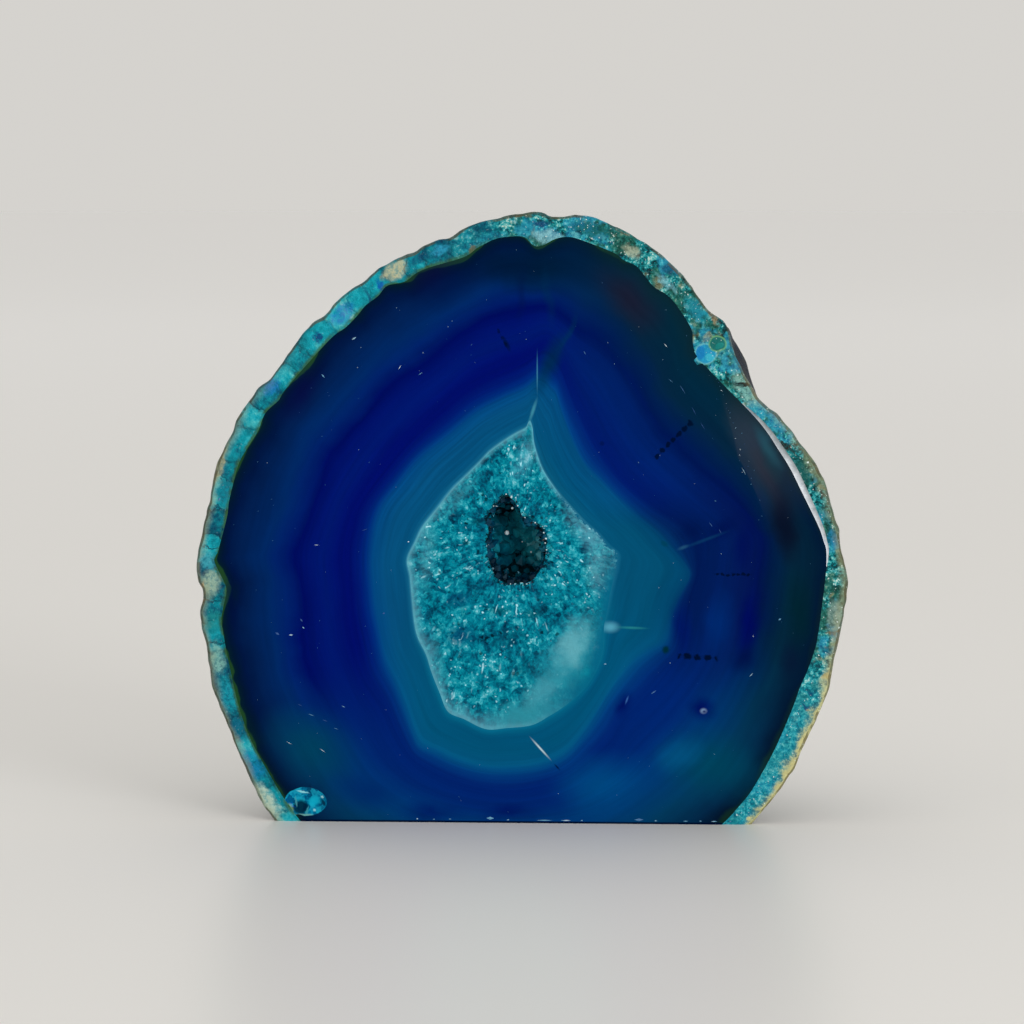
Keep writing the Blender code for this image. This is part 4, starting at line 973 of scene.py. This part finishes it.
# Painted light and shade: each block is lighter in its middle than at its cracks, and the rind is lighter
# across the middle of its band, as if the blocks were rounded and lit.
painted_pillow_shade = 0.80 + gap.rise(0.0, 0.30) * 0.24 + (band_value.rise(5.0, 5.4) - band_value.rise(5.7, 6.0)) * 0.12
blocks = w.node("HueSaturation", None, {"Value": painted_pillow_shade, "Color": blocks})
blocks = w.mix(gap.rise(0.12, 0.0) * wander.rise(0.42, 0.62) * 0.65, blocks, (0, 52, 72))
flakes = w.node("TexVoronoi", {"feature": "SMOOTH_F1"}, {"Vector": shaken(place, 1.0, 0.8), "Scale": 0.9},
                take=1)
tone = (flakes.parts("SeparateColor")[0] - 0.5) * 0.30 + (grit - 0.5) * 2.1 + (cloud - 0.5) * 0.7 + 0.53
loose = w.ramp(tone, [(0.12, (0, 24, 32)), (0.30, (0, 62, 66)), (0.44, (0, 100, 106)),
                      (0.58, (14, 142, 148)), (0.76, (96, 184, 180)), (0.94, (206, 226, 214))])
wide_cloud = w.noise(place, 4.5, 3.0, 0.6, take=1).parts("SeparateColor")
# Dark green, blue and ochre patches, each from its darkest grain to its palest
for spread, low, high, strength, dark, pale in (
        (wide_cloud[0], 0.48, 0.58, 0.80, (0, 40, 36), (40, 104, 78)),
        (wide_cloud[1], 0.50, 0.60, 0.75, (0, 100, 150), (60, 180, 200)),
        (wide_cloud[2], 0.60, 0.68, 0.55, (72, 62, 30), (176, 164, 116))):
    loose = w.mix(spread.rise(low, high) * strength, loose, w.ramp(grit, [(0.3, dark), (0.7, pale)]))
colour = w.mix((to_right + (cloud - 0.5) * 0.5).rise(-0.24, 0.10), blocks, loose)
fresh = to_top.rise(-0.30, -0.55) * to_right.rise(0.3, 0.5)
colour = w.mix(fresh * 0.7, colour, w.ramp(grit, [(0.30, (0, 96, 124)), (0.48, (10, 144, 164)),
                                                  (0.68, (80, 192, 200))]))
rough_place = shaken(place, 1.5, 2.2)
speckle = 0.45 + w.noise(place, 0.7, 3.0, 0.7).rise(0.38, 0.58) * 0.55
for x, z, long, short, tilt, tint, strength in RIND_STAINS:
    colour = w.mix(ellipse(rough_place, x, z, long, short, tilt, 0.45) * speckle * strength, colour, tint)
colour = stain(shaken(place, 1.2, 0.4), colour, ROUND_CRYSTAL_COLOURS, 0.80)
pale_rim = (band_value + (cloud - 0.5) * 0.9).rise(5.50, 5.95) * to_top.rise(0.75, 0.2)
colour = w.mix(pale_rim * 0.42, colour, (160, 154, 112))
yellow_rim = (band_value + (cloud - 0.5) * 1.3 + (grit - 0.5) * 0.4).rise(5.60, 5.95)
yellow_rim = yellow_rim * to_top.rise(-0.25, -0.5) * to_right.rise(0.4, 0.6)
colour = w.mix(yellow_rim * 0.85, colour, (206, 196, 130))
brown_line = (band_value + (grit - 0.5) * 0.16 + (cloud - 0.5) * 0.14).rise(5.94, 6.0)
brown = w.ramp(cloud, [(0.44, (14, 52, 50)), (0.58, (84, 68, 36))])
colour = w.mix(brown_line * cloud.rise(0.38, 0.52) * 0.7, colour, brown)
olive_line = (band_value + (grit - 0.5) * 0.24).rise(5.20, 5.02)
olive_line = olive_line * to_right.rise(0.2, -0.4) * cloud.rise(0.38, 0.54)
colour = w.mix(olive_line * 0.85, colour, (58, 92, 30))
# Painted highlights: small pale sparkles over the rind, weaker on the left.
painted_sparkle = w.noise(place, 0.36, 1.0, 0.5).rise(0.68, 0.78) * band_value.rise(5.05, 5.15)
painted_sparkle = painted_sparkle * (0.15 + 0.85 * to_right.rise(-0.3, 0.1))
colour = w.mix(painted_sparkle * 0.85, colour, (222, 238, 234))
feed(rind_shader, "Base Color", colour)
raise_bumps(rind_shader, w, grit * 0.5 + gap.rise(0.0, 0.08) * 0.15, 0.6, 1.0)


# Natural back
# The nodule's outside as it came from the ground: pitted, matt, dyed unevenly, with patches of brown earth;
# it is paler on its rises and darker, then brown, in its pits.
BULGE_DYE_FROM = (36.5, -9.0, 74.0)

back_finish, back_shader, w = new_finish("natural_skin", IOR=1.5, Roughness=0.55, Specular_IOR_Level=0.3)
place, band_value = site(w)[:2]
relief = w.reading("relief")
grit = w.noise(place, 1.0, 6.0, 0.75)
cloud = w.noise(place, 13.0, 5.0, 0.62, 0.4)
patch = w.noise(place, 5.0, 4.0, 0.68)
colour = w.ramp(cloud * 0.6 + patch * 0.4, [(0.34, (2, 20, 52)), (0.44, (2, 50, 82)), (0.52, (8, 82, 100)),
                                            (0.60, (34, 104, 102)), (0.70, (100, 110, 78))])
# Paler where the skin's relief rises, darker where it sinks, and brown in the deepest pits.
colour = w.mix((grit + relief * 0.12).rise(0.46, 0.70) * 0.60, colour, (112, 150, 142))
colour = w.mix((grit + relief * 0.18).rise(0.46, 0.30) * 0.75, colour, (10, 20, 30))
colour = w.mix((relief - grit * 0.4).rise(-0.35, -0.75) * 0.6, colour, (52, 40, 24))
earth = patch.rise(0.56, 0.66) * w.noise(place, 2.2, 4.0, 0.7).rise(0.48, 0.60)
colour = w.mix(earth * 0.6, colour, (104, 84, 50))
front_skin = w.ramp(patch, [(0.44, (2, 18, 42)), (0.56, (4, 34, 48)), (0.68, (46, 42, 26))])
colour = w.mix(band_value.rise(6.30, 6.08) * 0.85, colour, front_skin)
from_bulge = place.vector("DISTANCE", place, BULGE_DYE_FROM, take=1)
bulge_dye = w.ramp(grit, [(0.35, (0, 4, 14)), (0.65, (4, 22, 46))])
colour = w.mix(from_bulge.rise(9.0, 4.0) * 0.85, colour, bulge_dye)
feed(back_shader, "Base Color", colour)
pits = w.cells(place, 2.3, feature="SMOOTH_F1").rise(0.15, 0.55)
raise_bumps(back_shader, w, grit * 0.8 + patch * 1.2 + pits * 0.5, 0.9, 1.0)


# Sawn base
# Flat saw cut, left matt, with the faint arcs of the blade.
BLADE_CENTRE = (120.0, 60.0, 0.0)

base_finish, base_shader, w = new_finish("sawn_base", IOR=1.54, Roughness=0.45)
place = site(w)[0]
arcs = w.node("TexWave", {"wave_type": "RINGS", "rings_direction": "SPHERICAL"},
              {"Vector": place.vector("SUBTRACT", place, BLADE_CENTRE), "Scale": 0.25, "Distortion": 1.0})
cloud = w.noise(place, 10.0, 3.0)
feed(base_shader, "Base Color", w.ramp(cloud * 0.8 + arcs * 0.2, [(0.3, (0, 16, 50)), (0.7, (6, 60, 90))]))
raise_bumps(base_shader, w, arcs, 0.3, 0.2)

for finish in (polish, core_finish, bevel_finish, rind_finish, back_finish, base_finish):
    stone_mesh.materials.append(finish)


# Finish of every face of the net, by its band; edges that turn by more than this angle stay sharp
SHARP_FROM = math.radians(38.0)


def mesh_values(collection, name, width, kind=float):
    """One property of every element of a mesh as an array."""
    values = np.empty(len(collection) * width, kind)
    collection.foreach_get(name, values)
    return values.reshape(-1, width) if width > 1 else values


point_band = mesh_values(stone_mesh.attributes["band"].data, "value", 1)
centres = mesh_values(stone_mesh.polygons, "center", 3) / MM
normals = mesh_values(stone_mesh.polygons, "normal", 3)
starts = mesh_values(stone_mesh.polygons, "loop_start", 1, np.int32)
totals = mesh_values(stone_mesh.polygons, "loop_total", 1, np.int32)
loop_points = mesh_values(stone_mesh.loops, "vertex_index", 1, np.int32)
face_band = np.add.reduceat(point_band[loop_points], starts) / totals
slots = np.select([face_band < 1.0, face_band < 5.0, face_band < 6.045], [1, 0, 3], 4)
turn = np.arctan2(centres[:, 2] - HOLLOW_CENTRE[1], centres[:, 0] - HOLLOW_CENTRE[0])
radius = np.hypot(centres[:, 2] - HOLLOW_CENTRE[1], centres[:, 0] - HOLLOW_CENTRE[0])
bevel_inner = np.interp(turn, angles, rind, period=2 * math.pi)
bevel_outer = np.interp(turn, angles, rind + bevel_width, period=2 * math.pi)
on_face = (face_band > 1.0) & (face_band < 6.0)
slots[(radius > bevel_inner) & (radius < bevel_outer) & on_face] = 2
for x, z, size, height in ROUND_CRYSTALS:
    slots[(np.hypot(centres[:, 0] - x, centres[:, 2] - z) < size) & on_face] = 3
is_base = (centres[:, 2] < 0.001) & (normals[:, 2] < -0.99)
slots[is_base] = 5
stone_mesh.polygons.foreach_set("material_index", slots.astype(np.int32))
stone_mesh.shade_smooth()
stone_mesh.set_sharp_from_angle(angle=SHARP_FROM)

# Bake layout: the face flat, the back and the hollow's wall unrolled, the base beside them
# Left, width, bottom and height of each panel, and the millimetres that the face and the base take up
FACE_PANEL = (0.002, 0.825, 0.002, 0.825)
BACK_PANEL = (0.002, 0.996, 0.785, 0.21)
WALL_PANEL = (0.835, 0.16, 0.01, 0.30)
BASE_PANEL = (0.835, 0.16, 0.33, 0.44)
FACE_FROM, FACE_SPAN = -53.0, 105.5
BASE_FROM, BASE_SPAN = (-42.0, -16.0), (84.0, 48.0)


def in_panel(panel, across, up):
    """Layout points at shares across and up a panel."""
    left, wide, bottom, high = panel
    return np.stack([left + wide * across, bottom + high * up], axis=1)


loop_place = mesh_values(stone_mesh.vertices, "co", 3)[loop_points] / MM
loop_band = point_band[loop_points]
loop_face = np.repeat(np.arange(len(totals)), totals)
region = np.select([is_base, face_band < 0.0, face_band < 6.0], [3, 2, 0], 1)[loop_face]
drift_share = (loop_place[:, 1] - FACE_Y) / DEPTH
around = np.arctan2(loop_place[:, 0] - HOLLOW_CENTRE[0] - drift[0] * drift_share,
                    loop_place[:, 2] - HOLLOW_CENTRE[1] - drift[2] * drift_share) / (2.0 * math.pi) + 0.5
lowest = np.minimum.reduceat(around, starts)[loop_face]
highest = np.maximum.reduceat(around, starts)[loop_face]
around = np.where((highest - lowest > 0.5) & (around < 0.5), around + 1.0, around)
around = np.clip(around, 0.0, 1.0)
flat = in_panel(FACE_PANEL, (loop_place[:, 0] - FACE_FROM) / FACE_SPAN, loop_place[:, 2] / FACE_SPAN)
unrolled = in_panel(BACK_PANEL, around, np.clip(loop_band - 6.0, 0.0, 1.0))
wall = in_panel(WALL_PANEL, around, np.clip((loop_band + 3.0) / 3.0, 0.0, 1.0))
underside = in_panel(BASE_PANEL, (loop_place[:, 1] - BASE_FROM[1]) / BASE_SPAN[1],
                     (loop_place[:, 0] - BASE_FROM[0]) / BASE_SPAN[0])
layout = stone_mesh.uv_layers.new(name="OFBake")
spots = np.choose(region[:, None], [flat, unrolled, wall, underside])
layout.data.foreach_set("uv", spots.astype(np.float32).ravel())
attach(stone, "root")
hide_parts("agate")


# Crystals of the hollow
# A crust of small dyed quartz points, glassy and dark teal, that lines the hollow, and round its mouth a
# cracked lip of tiny black and brown grains, among them white ones that are painted glints.
CRYSTAL_COUNT = 170
GRAIN_COUNT = 150
# The crystals climb from below 0, across the floor, up the wall's levels; the highest stop below the mouth
LEVEL_SPAN = 5.2
FLOOR_LEVELS = 1.3
TOP_LEVEL = 3.62
LIP_DEPTH = 0.72
LIP_LENGTH = 0.66
# x, y, z and width in millimetres of white tips that stand in for painted highlights, in the hollow and then
# along its lip
HIGHLIGHT_TIPS = [
    (-1.55, -9.5, 46.5, 0.38), (2.5, -10, 43.5, 0.16), (1, -9, 45, 0.12), (-0.4, -13.6, 51, 0.2),
    (4.7, -15, 47.2, 0.13), (5.1, -15, 46.2, 0.16), (4.9, -15, 45.5, 0.12), (5.2, -15, 44.4, 0.11),
    (3.3, -15, 48.8, 0.13), (1.7, -15, 49.6, 0.11), (0.5, -15, 51.5, 0.13), (-0.5, -15, 52.8, 0.14),
    (-1.3, -15, 53.3, 0.12), (-3.3, -15, 51.4, 0.11), (2, -15, 38.9, 0.12), (-0.6, -15, 38.9, 0.1),
]


def crystal_mesh(name, roots, axes, widths, lengths, tones, tip_lean):
    """Closed six-sided crystals: a prism on each root along its axis, ending in a leaning pyramid."""
    count = len(roots)
    axes = axes / np.linalg.norm(axes, axis=1)[:, None]
    side = np.cross(axes, (0.3, 0.2, 0.93))
    side /= np.linalg.norm(side, axis=1)[:, None]
    other = np.cross(axes, side)
    corner = np.arange(6) * math.pi / 3.0
    ring_offset = (side[:, None, :] * np.cos(corner)[None, :, None]
                   + other[:, None, :] * np.sin(corner)[None, :, None]) * widths[:, None, None]
    low = roots[:, None, :] + ring_offset
    high = low + (axes * (0.55 * lengths)[:, None])[:, None, :]
    tip = roots + axes * lengths[:, None] + tip_lean * widths[:, None]
    points = np.concatenate([low, high, tip[:, None, :]], axis=1)
    k = np.arange(6)
    n = (k + 1) % 6
    sides = np.stack([k, n, 6 + n, 6 + k], axis=1)
    tops = np.stack([6 + k, 6 + n, np.full(6, 12)], axis=1)
    start = np.arange(count)[:, None, None] * 13
    faces = (start + sides).reshape(-1, 4).tolist() + (start + tops).reshape(-1, 3).tolist()
    faces += (np.arange(count)[:, None] * 13 + k[::-1]).tolist()
    mesh = bpy.data.meshes.new(name)
    mesh.from_pydata((points.reshape(-1, 3) * MM).tolist(), [], faces)
    shade = mesh.attributes.new("tone", "FLOAT", "POINT")
    shade.data.foreach_set("value", np.repeat(tones, 13))
    return mesh


def reach_of(line, turns):
    """Radius at any angles of a line that is known at the net's own angles."""
    return np.interp(turns, angles, line, period=2 * math.pi)


def wall_place(turns, levels):
    """Points on the hollow's wall: turns are angles and levels run from 0 at its floor to 4 at its mouth."""
    reach = reach_of(mouth, turns)
    inner = reach * np.interp(levels, wall_levels, wall_shares)
    return polar(inner, turns, FACE_Y + np.interp(levels, wall_levels, wall_depths))


rng = np.random.default_rng(11)
turns = np.arange(CRYSTAL_COUNT) * math.pi * (3.0 - math.sqrt(5.0))
levels = LEVEL_SPAN * (np.arange(CRYSTAL_COUNT) + 0.5) / CRYSTAL_COUNT - FLOOR_LEVELS
levels = np.clip(levels, -FLOOR_LEVELS, TOP_LEVEL)
roots = wall_place(turns, np.clip(levels, 0.0, 4.0))
floor_share = np.clip(1.0 + levels / FLOOR_LEVELS, 0.0, 1.0)[:, None]
roots[:, (0, 2)] = HOLLOW_CENTRE + (roots[:, (0, 2)] - HOLLOW_CENTRE) * floor_share
levels = np.clip(levels, 0.0, 4.0)
middle = np.array([HOLLOW_CENTRE[0], FACE_Y + 3.5, HOLLOW_CENTRE[1]])
axes = middle - roots + rng.normal(0.0, 1.3, roots.shape) + (0.0, -1.6, 0.0)
axes /= np.linalg.norm(axes, axis=1)[:, None]
widths = rng.uniform(0.55, 1.5, CRYSTAL_COUNT) * (1.0 - 0.13 * levels)
lengths = widths * rng.uniform(1.5, 2.5, CRYSTAL_COUNT)
tones = np.clip(rng.uniform(0.0, 1.0, CRYSTAL_COUNT) * 0.8 + 0.2 * (levels / 4.0), 0.0, 1.0)
crust_mesh = crystal_mesh("hollow_crystal_crust", roots - axes * 0.5 * widths[:, None], axes, widths, lengths,
                          tones, rng.normal(0.0, 0.22, roots.shape))
crust_finish, crust_shader, w = new_finish("hollow_crystals", Roughness=0.12, IOR=1.54,
                                           Specular_IOR_Level=0.25, Specular_Tint=(0.4, 0.8, 1.0, 1.0))
place = site(w)[0]
shade = w.reading("tone")
deep_share = place.parts()[1].rise(FACE_Y + 5.0, FACE_Y + 0.8)
across, through, up = place.parts()
sideways = (across - up * 0.15).rise(-7.4, -4.4) * up.rise(40.0, 43.0)
tone = shade * 0.22 + w.noise(place, 2.2, 3.0, 0.6) * 0.75 - deep_share * 0.40
# Painted shade: the crystals darken low in the hollow.
tone = tone + sideways * 0.20 - up.rise(44.5, 41.0) * 0.12 + 0.08
feed(crust_shader, "Base Color", w.ramp(tone, [(0.10, (0, 22, 40)), (0.30, (0, 60, 86)),
                                               (0.52, (0, 110, 134)), (0.76, (36, 160, 178)),
                                               (0.97, (130, 210, 222))]))
crust_mesh.materials.append(crust_finish)
crust = bpy.data.objects.new("hollow_crystal_crust", crust_mesh)
bpy.context.collection.objects.link(crust)
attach(crust, "root")
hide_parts("hollow_crystals")

turns = rng.uniform(0.0, 2.0 * math.pi, GRAIN_COUNT)
heavy = 0.3 + 0.9 * np.exp(-((turns - 2.3) / 0.5) ** 2)
heavy += 0.9 * np.exp(-((np.abs(turns - math.pi) - math.pi) / 0.5) ** 2)
reach = reach_of(mouth, turns) + rng.normal(0.15, 0.45, GRAIN_COUNT) * heavy
highlight_tips = np.array(HIGHLIGHT_TIPS)
grains = GRAIN_COUNT + len(highlight_tips)
roots = np.concatenate([polar(reach, turns, FACE_Y + LIP_DEPTH), highlight_tips[:, :3]])
axes = rng.normal(0.0, 0.9, (grains, 3)) * (1.0, 0.0, 1.0) + (0.0, -1.0, 0.0)
widths = np.concatenate([rng.uniform(0.05, 0.16, GRAIN_COUNT) * (0.7 + 0.5 * heavy), highlight_tips[:, 3]])
lengths = np.concatenate([np.full(GRAIN_COUNT, LIP_LENGTH), 1.4 * highlight_tips[:, 3]])
tones = np.concatenate([rng.uniform(0.0, 1.0, GRAIN_COUNT), np.ones(len(highlight_tips))])
lip_mesh = crystal_mesh("hollow_lip_grains", roots, axes, widths, lengths, tones,
                        rng.normal(0.0, 0.6, roots.shape) * (1.0, 0.0, 1.0))
lip_finish, lip_shader, w = new_finish("lip_grains", Roughness=0.2, IOR=1.54, Specular_IOR_Level=0.2)
# Grain colours by tone: black, brown and teal grains, and at the top white, which is a painted glint.
grain_colours = [(0.0, (2, 5, 12)), (0.80, (4, 12, 22)), (0.83, (60, 28, 26)), (0.86, (0, 60, 72)),
                 (0.90, (40, 110, 122)), (0.92, (200, 220, 226))]
feed(lip_shader, "Base Color", w.ramp(w.reading("tone"), grain_colours))
lip_mesh.materials.append(lip_finish)
lip = bpy.data.objects.new("hollow_lip_grains", lip_mesh)
bpy.context.collection.objects.link(lip)
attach(lip, "root")


# Dust and scratches
# Lint, grains and short scuffs on the polish, and pale chips that the saw left along its foot: hair-thin
# closed slivers set into the face, most of them a few tenths of a millimetre long.

# The larger ones, as x, z, length, width and tilt in degrees
SCUFFS = [
    (22.4, 21.5, 1.3, 0.3, 35), (-18.3, 73.6, 1, 0.16, 60), (-15, 72.6, 0.9, 0.16, 40),
    (-31.8, 45, 0.9, 0.14, 0), (-34.3, 32.8, 0.7, 0.35, -50), (-34, 31.6, 0.5, 0.3, -40),
    (-38.2, 30.6, 0.9, 0.5, -30), (-36, 30.4, 0.8, 0.3, 0), (-17, 45.6, 0.35, 0.3, 0),
    (-32.8, 17.4, 1.3, 0.16, -22), (-30.6, 16.5, 1.1, 0.16, -20), (-28.8, 15.2, 1, 0.14, -18),
    (-34.6, 19, 1, 0.14, -25), (-27.6, 18.8, 0.9, 0.14, -24), (-36.4, 12.8, 1.2, 0.12, -30),
    (-31, 11.6, 1.4, 0.12, -32), (26.8, 70.2, 2, 0.14, -58), (28.6, 66.8, 1.8, 0.12, -62),
    (30, 64.4, 1.6, 0.12, -60), (24.9, 71.6, 1.1, 0.12, -40), (31.4, 48.6, 1.1, 0.18, -55),
    (32.9, 47.5, 1, 0.16, -60), (24.1, 77.2, 1, 0.16, -50), (11.2, 76, 0.8, 0.2, -60),
    (-21, 34, 0.5, 0.4, 10), (-24, 47.5, 1.2, 0.13, 20), (38, 24.4, 1, 0.18, 48),
    (42.5, 33.4, 0.6, 0.4, 30), (-47.4, 52.3, 0.9, 0.4, 60), (36.6, 57.2, 1.6, 0.12, -62),
    (-25.6, 78.2, 1, 0.35, 30), (-30.6, 72.2, 0.9, 0.3, -50), (14.6, 26, 0.5, 0.3, 0),
]
FOOT_CHIPS = [
    (-3.9, 0.75, 1.5, 0.7, 0), (20.1, 0.7, 1.8, 0.6, 0), (-15.7, 0.55, 0.4, 0.3, 0),
    (-13, 0.5, 0.5, 0.26, 0), (-10.4, 0.55, 0.5, 0.3, 0), (-1, 0.5, 0.5, 0.26, 0),
    (4.9, 0.48, 3, 0.26, 0), (8.3, 0.48, 2, 0.26, 0), (10.9, 0.5, 0.45, 0.24, 0),
    (22.8, 0.55, 0.45, 0.3, 0), (27.6, 0.52, 1, 0.26, 0), (30, 0.55, 0.5, 0.3, 0),
    (32.2, 0.52, 1.2, 0.26, 0), (34.8, 0.55, 0.45, 0.3, 0),
]
DUST_COUNT = 190
# Grains caught along the ridge at the right
CREASE_DUST_COUNT = 26
SLIVER_HEIGHT = 0.06

scatter = rng.uniform(0.0, 1.0, (DUST_COUNT, 2))
dust_turn = 2.0 * math.pi * scatter[:, 0]
dust_near = reach_of(mouth, dust_turn) * 2.3
dust_far = reach_of(rind, dust_turn) - 1.0
spread = dust_near + (dust_far - dust_near) * np.sqrt(scatter[:, 1])
dust = np.stack([HOLLOW_CENTRE[0] + spread * np.cos(dust_turn), HOLLOW_CENTRE[1] + spread * np.sin(dust_turn),
                 0.07 + 0.34 * rng.uniform(0.0, 1.0, DUST_COUNT) ** 3, rng.uniform(0.06, 0.13, DUST_COUNT),
                 rng.uniform(0.0, 180.0, DUST_COUNT)], axis=1)
down = np.linspace(0.0, 1.0, CREASE_DUST_COUNT)
crease_dust = np.stack([31.4 + 6.2 * down + rng.normal(0.0, 0.5, CREASE_DUST_COUNT),
                        73.6 - 18.5 * down ** 1.3,
                        rng.uniform(0.08, 0.4, CREASE_DUST_COUNT), rng.uniform(0.06, 0.16, CREASE_DUST_COUNT),
                        rng.uniform(0.0, 180.0, CREASE_DUST_COUNT)], axis=1)
slivers = np.concatenate([np.array(FOOT_CHIPS), np.array(SCUFFS), dust[dust[:, 1] > 0.8], crease_dust])
pale = rng.uniform(0.0, 1.0, len(slivers))
pale[:len(FOOT_CHIPS)] = 0.35 + 0.3 * pale[:len(FOOT_CHIPS)]
sliver_x, sliver_z, sliver_long, sliver_wide, tilt = slivers.T * np.array([1.0, 1.0, 0.85, 0.7, 1.0])[:, None]
tilt = np.radians(tilt)
radius = np.hypot(sliver_x - HOLLOW_CENTRE[0], sliver_z - HOLLOW_CENTRE[1])
heading = np.arctan2(sliver_z - HOLLOW_CENTRE[1], sliver_x - HOLLOW_CENTRE[0])
level = FACE_Y + CREASE_SLOPE * np.clip(radius - reach_of(crease, heading), 0.0, None)
length = np.stack([np.cos(tilt), 0.0 * tilt, np.sin(tilt)], axis=1) * 0.5 * sliver_long[:, None]
width = np.stack([-np.sin(tilt), 0.0 * tilt, np.cos(tilt)], axis=1) * 0.5 * sliver_wide[:, None]
height = np.tile((0.0, SLIVER_HEIGHT, 0.0), (len(slivers), 1))
middle = np.stack([sliver_x, level, sliver_z], axis=1)
points = np.stack([middle + length, middle + width, middle - length, middle - width,
                   middle - height, middle + height], axis=1)
cap = np.array([(0, 4, 1), (1, 4, 2), (2, 4, 3), (3, 4, 0), (1, 5, 0), (2, 5, 1), (3, 5, 2), (0, 5, 3)])
dust_mesh = bpy.data.meshes.new("dust")
dust_mesh.from_pydata((points.reshape(-1, 3) * MM).tolist(), [],
                      (cap[None] + 6 * np.arange(len(slivers))[:, None, None]).reshape(-1, 3).tolist())
shade = dust_mesh.attributes.new("tone", "FLOAT", "POINT")
shade.data.foreach_set("value", np.repeat(pale, 6))
dust_finish, dust_shader, w = new_finish("dust", Roughness=0.7)
tone = w.reading("tone") + (w.noise(site(w)[0], 1.5, 2.0) - 0.5) * 0.6
feed(dust_shader, "Base Color", w.ramp(tone, [(0.2, (40, 80, 140)), (0.55, (100, 160, 190)),
                                              (0.85, (215, 228, 236))]))
dust_mesh.materials.append(dust_finish)
dust_piece = bpy.data.objects.new("dust", dust_mesh)
bpy.context.collection.objects.link(dust_piece)
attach(dust_piece, "root")
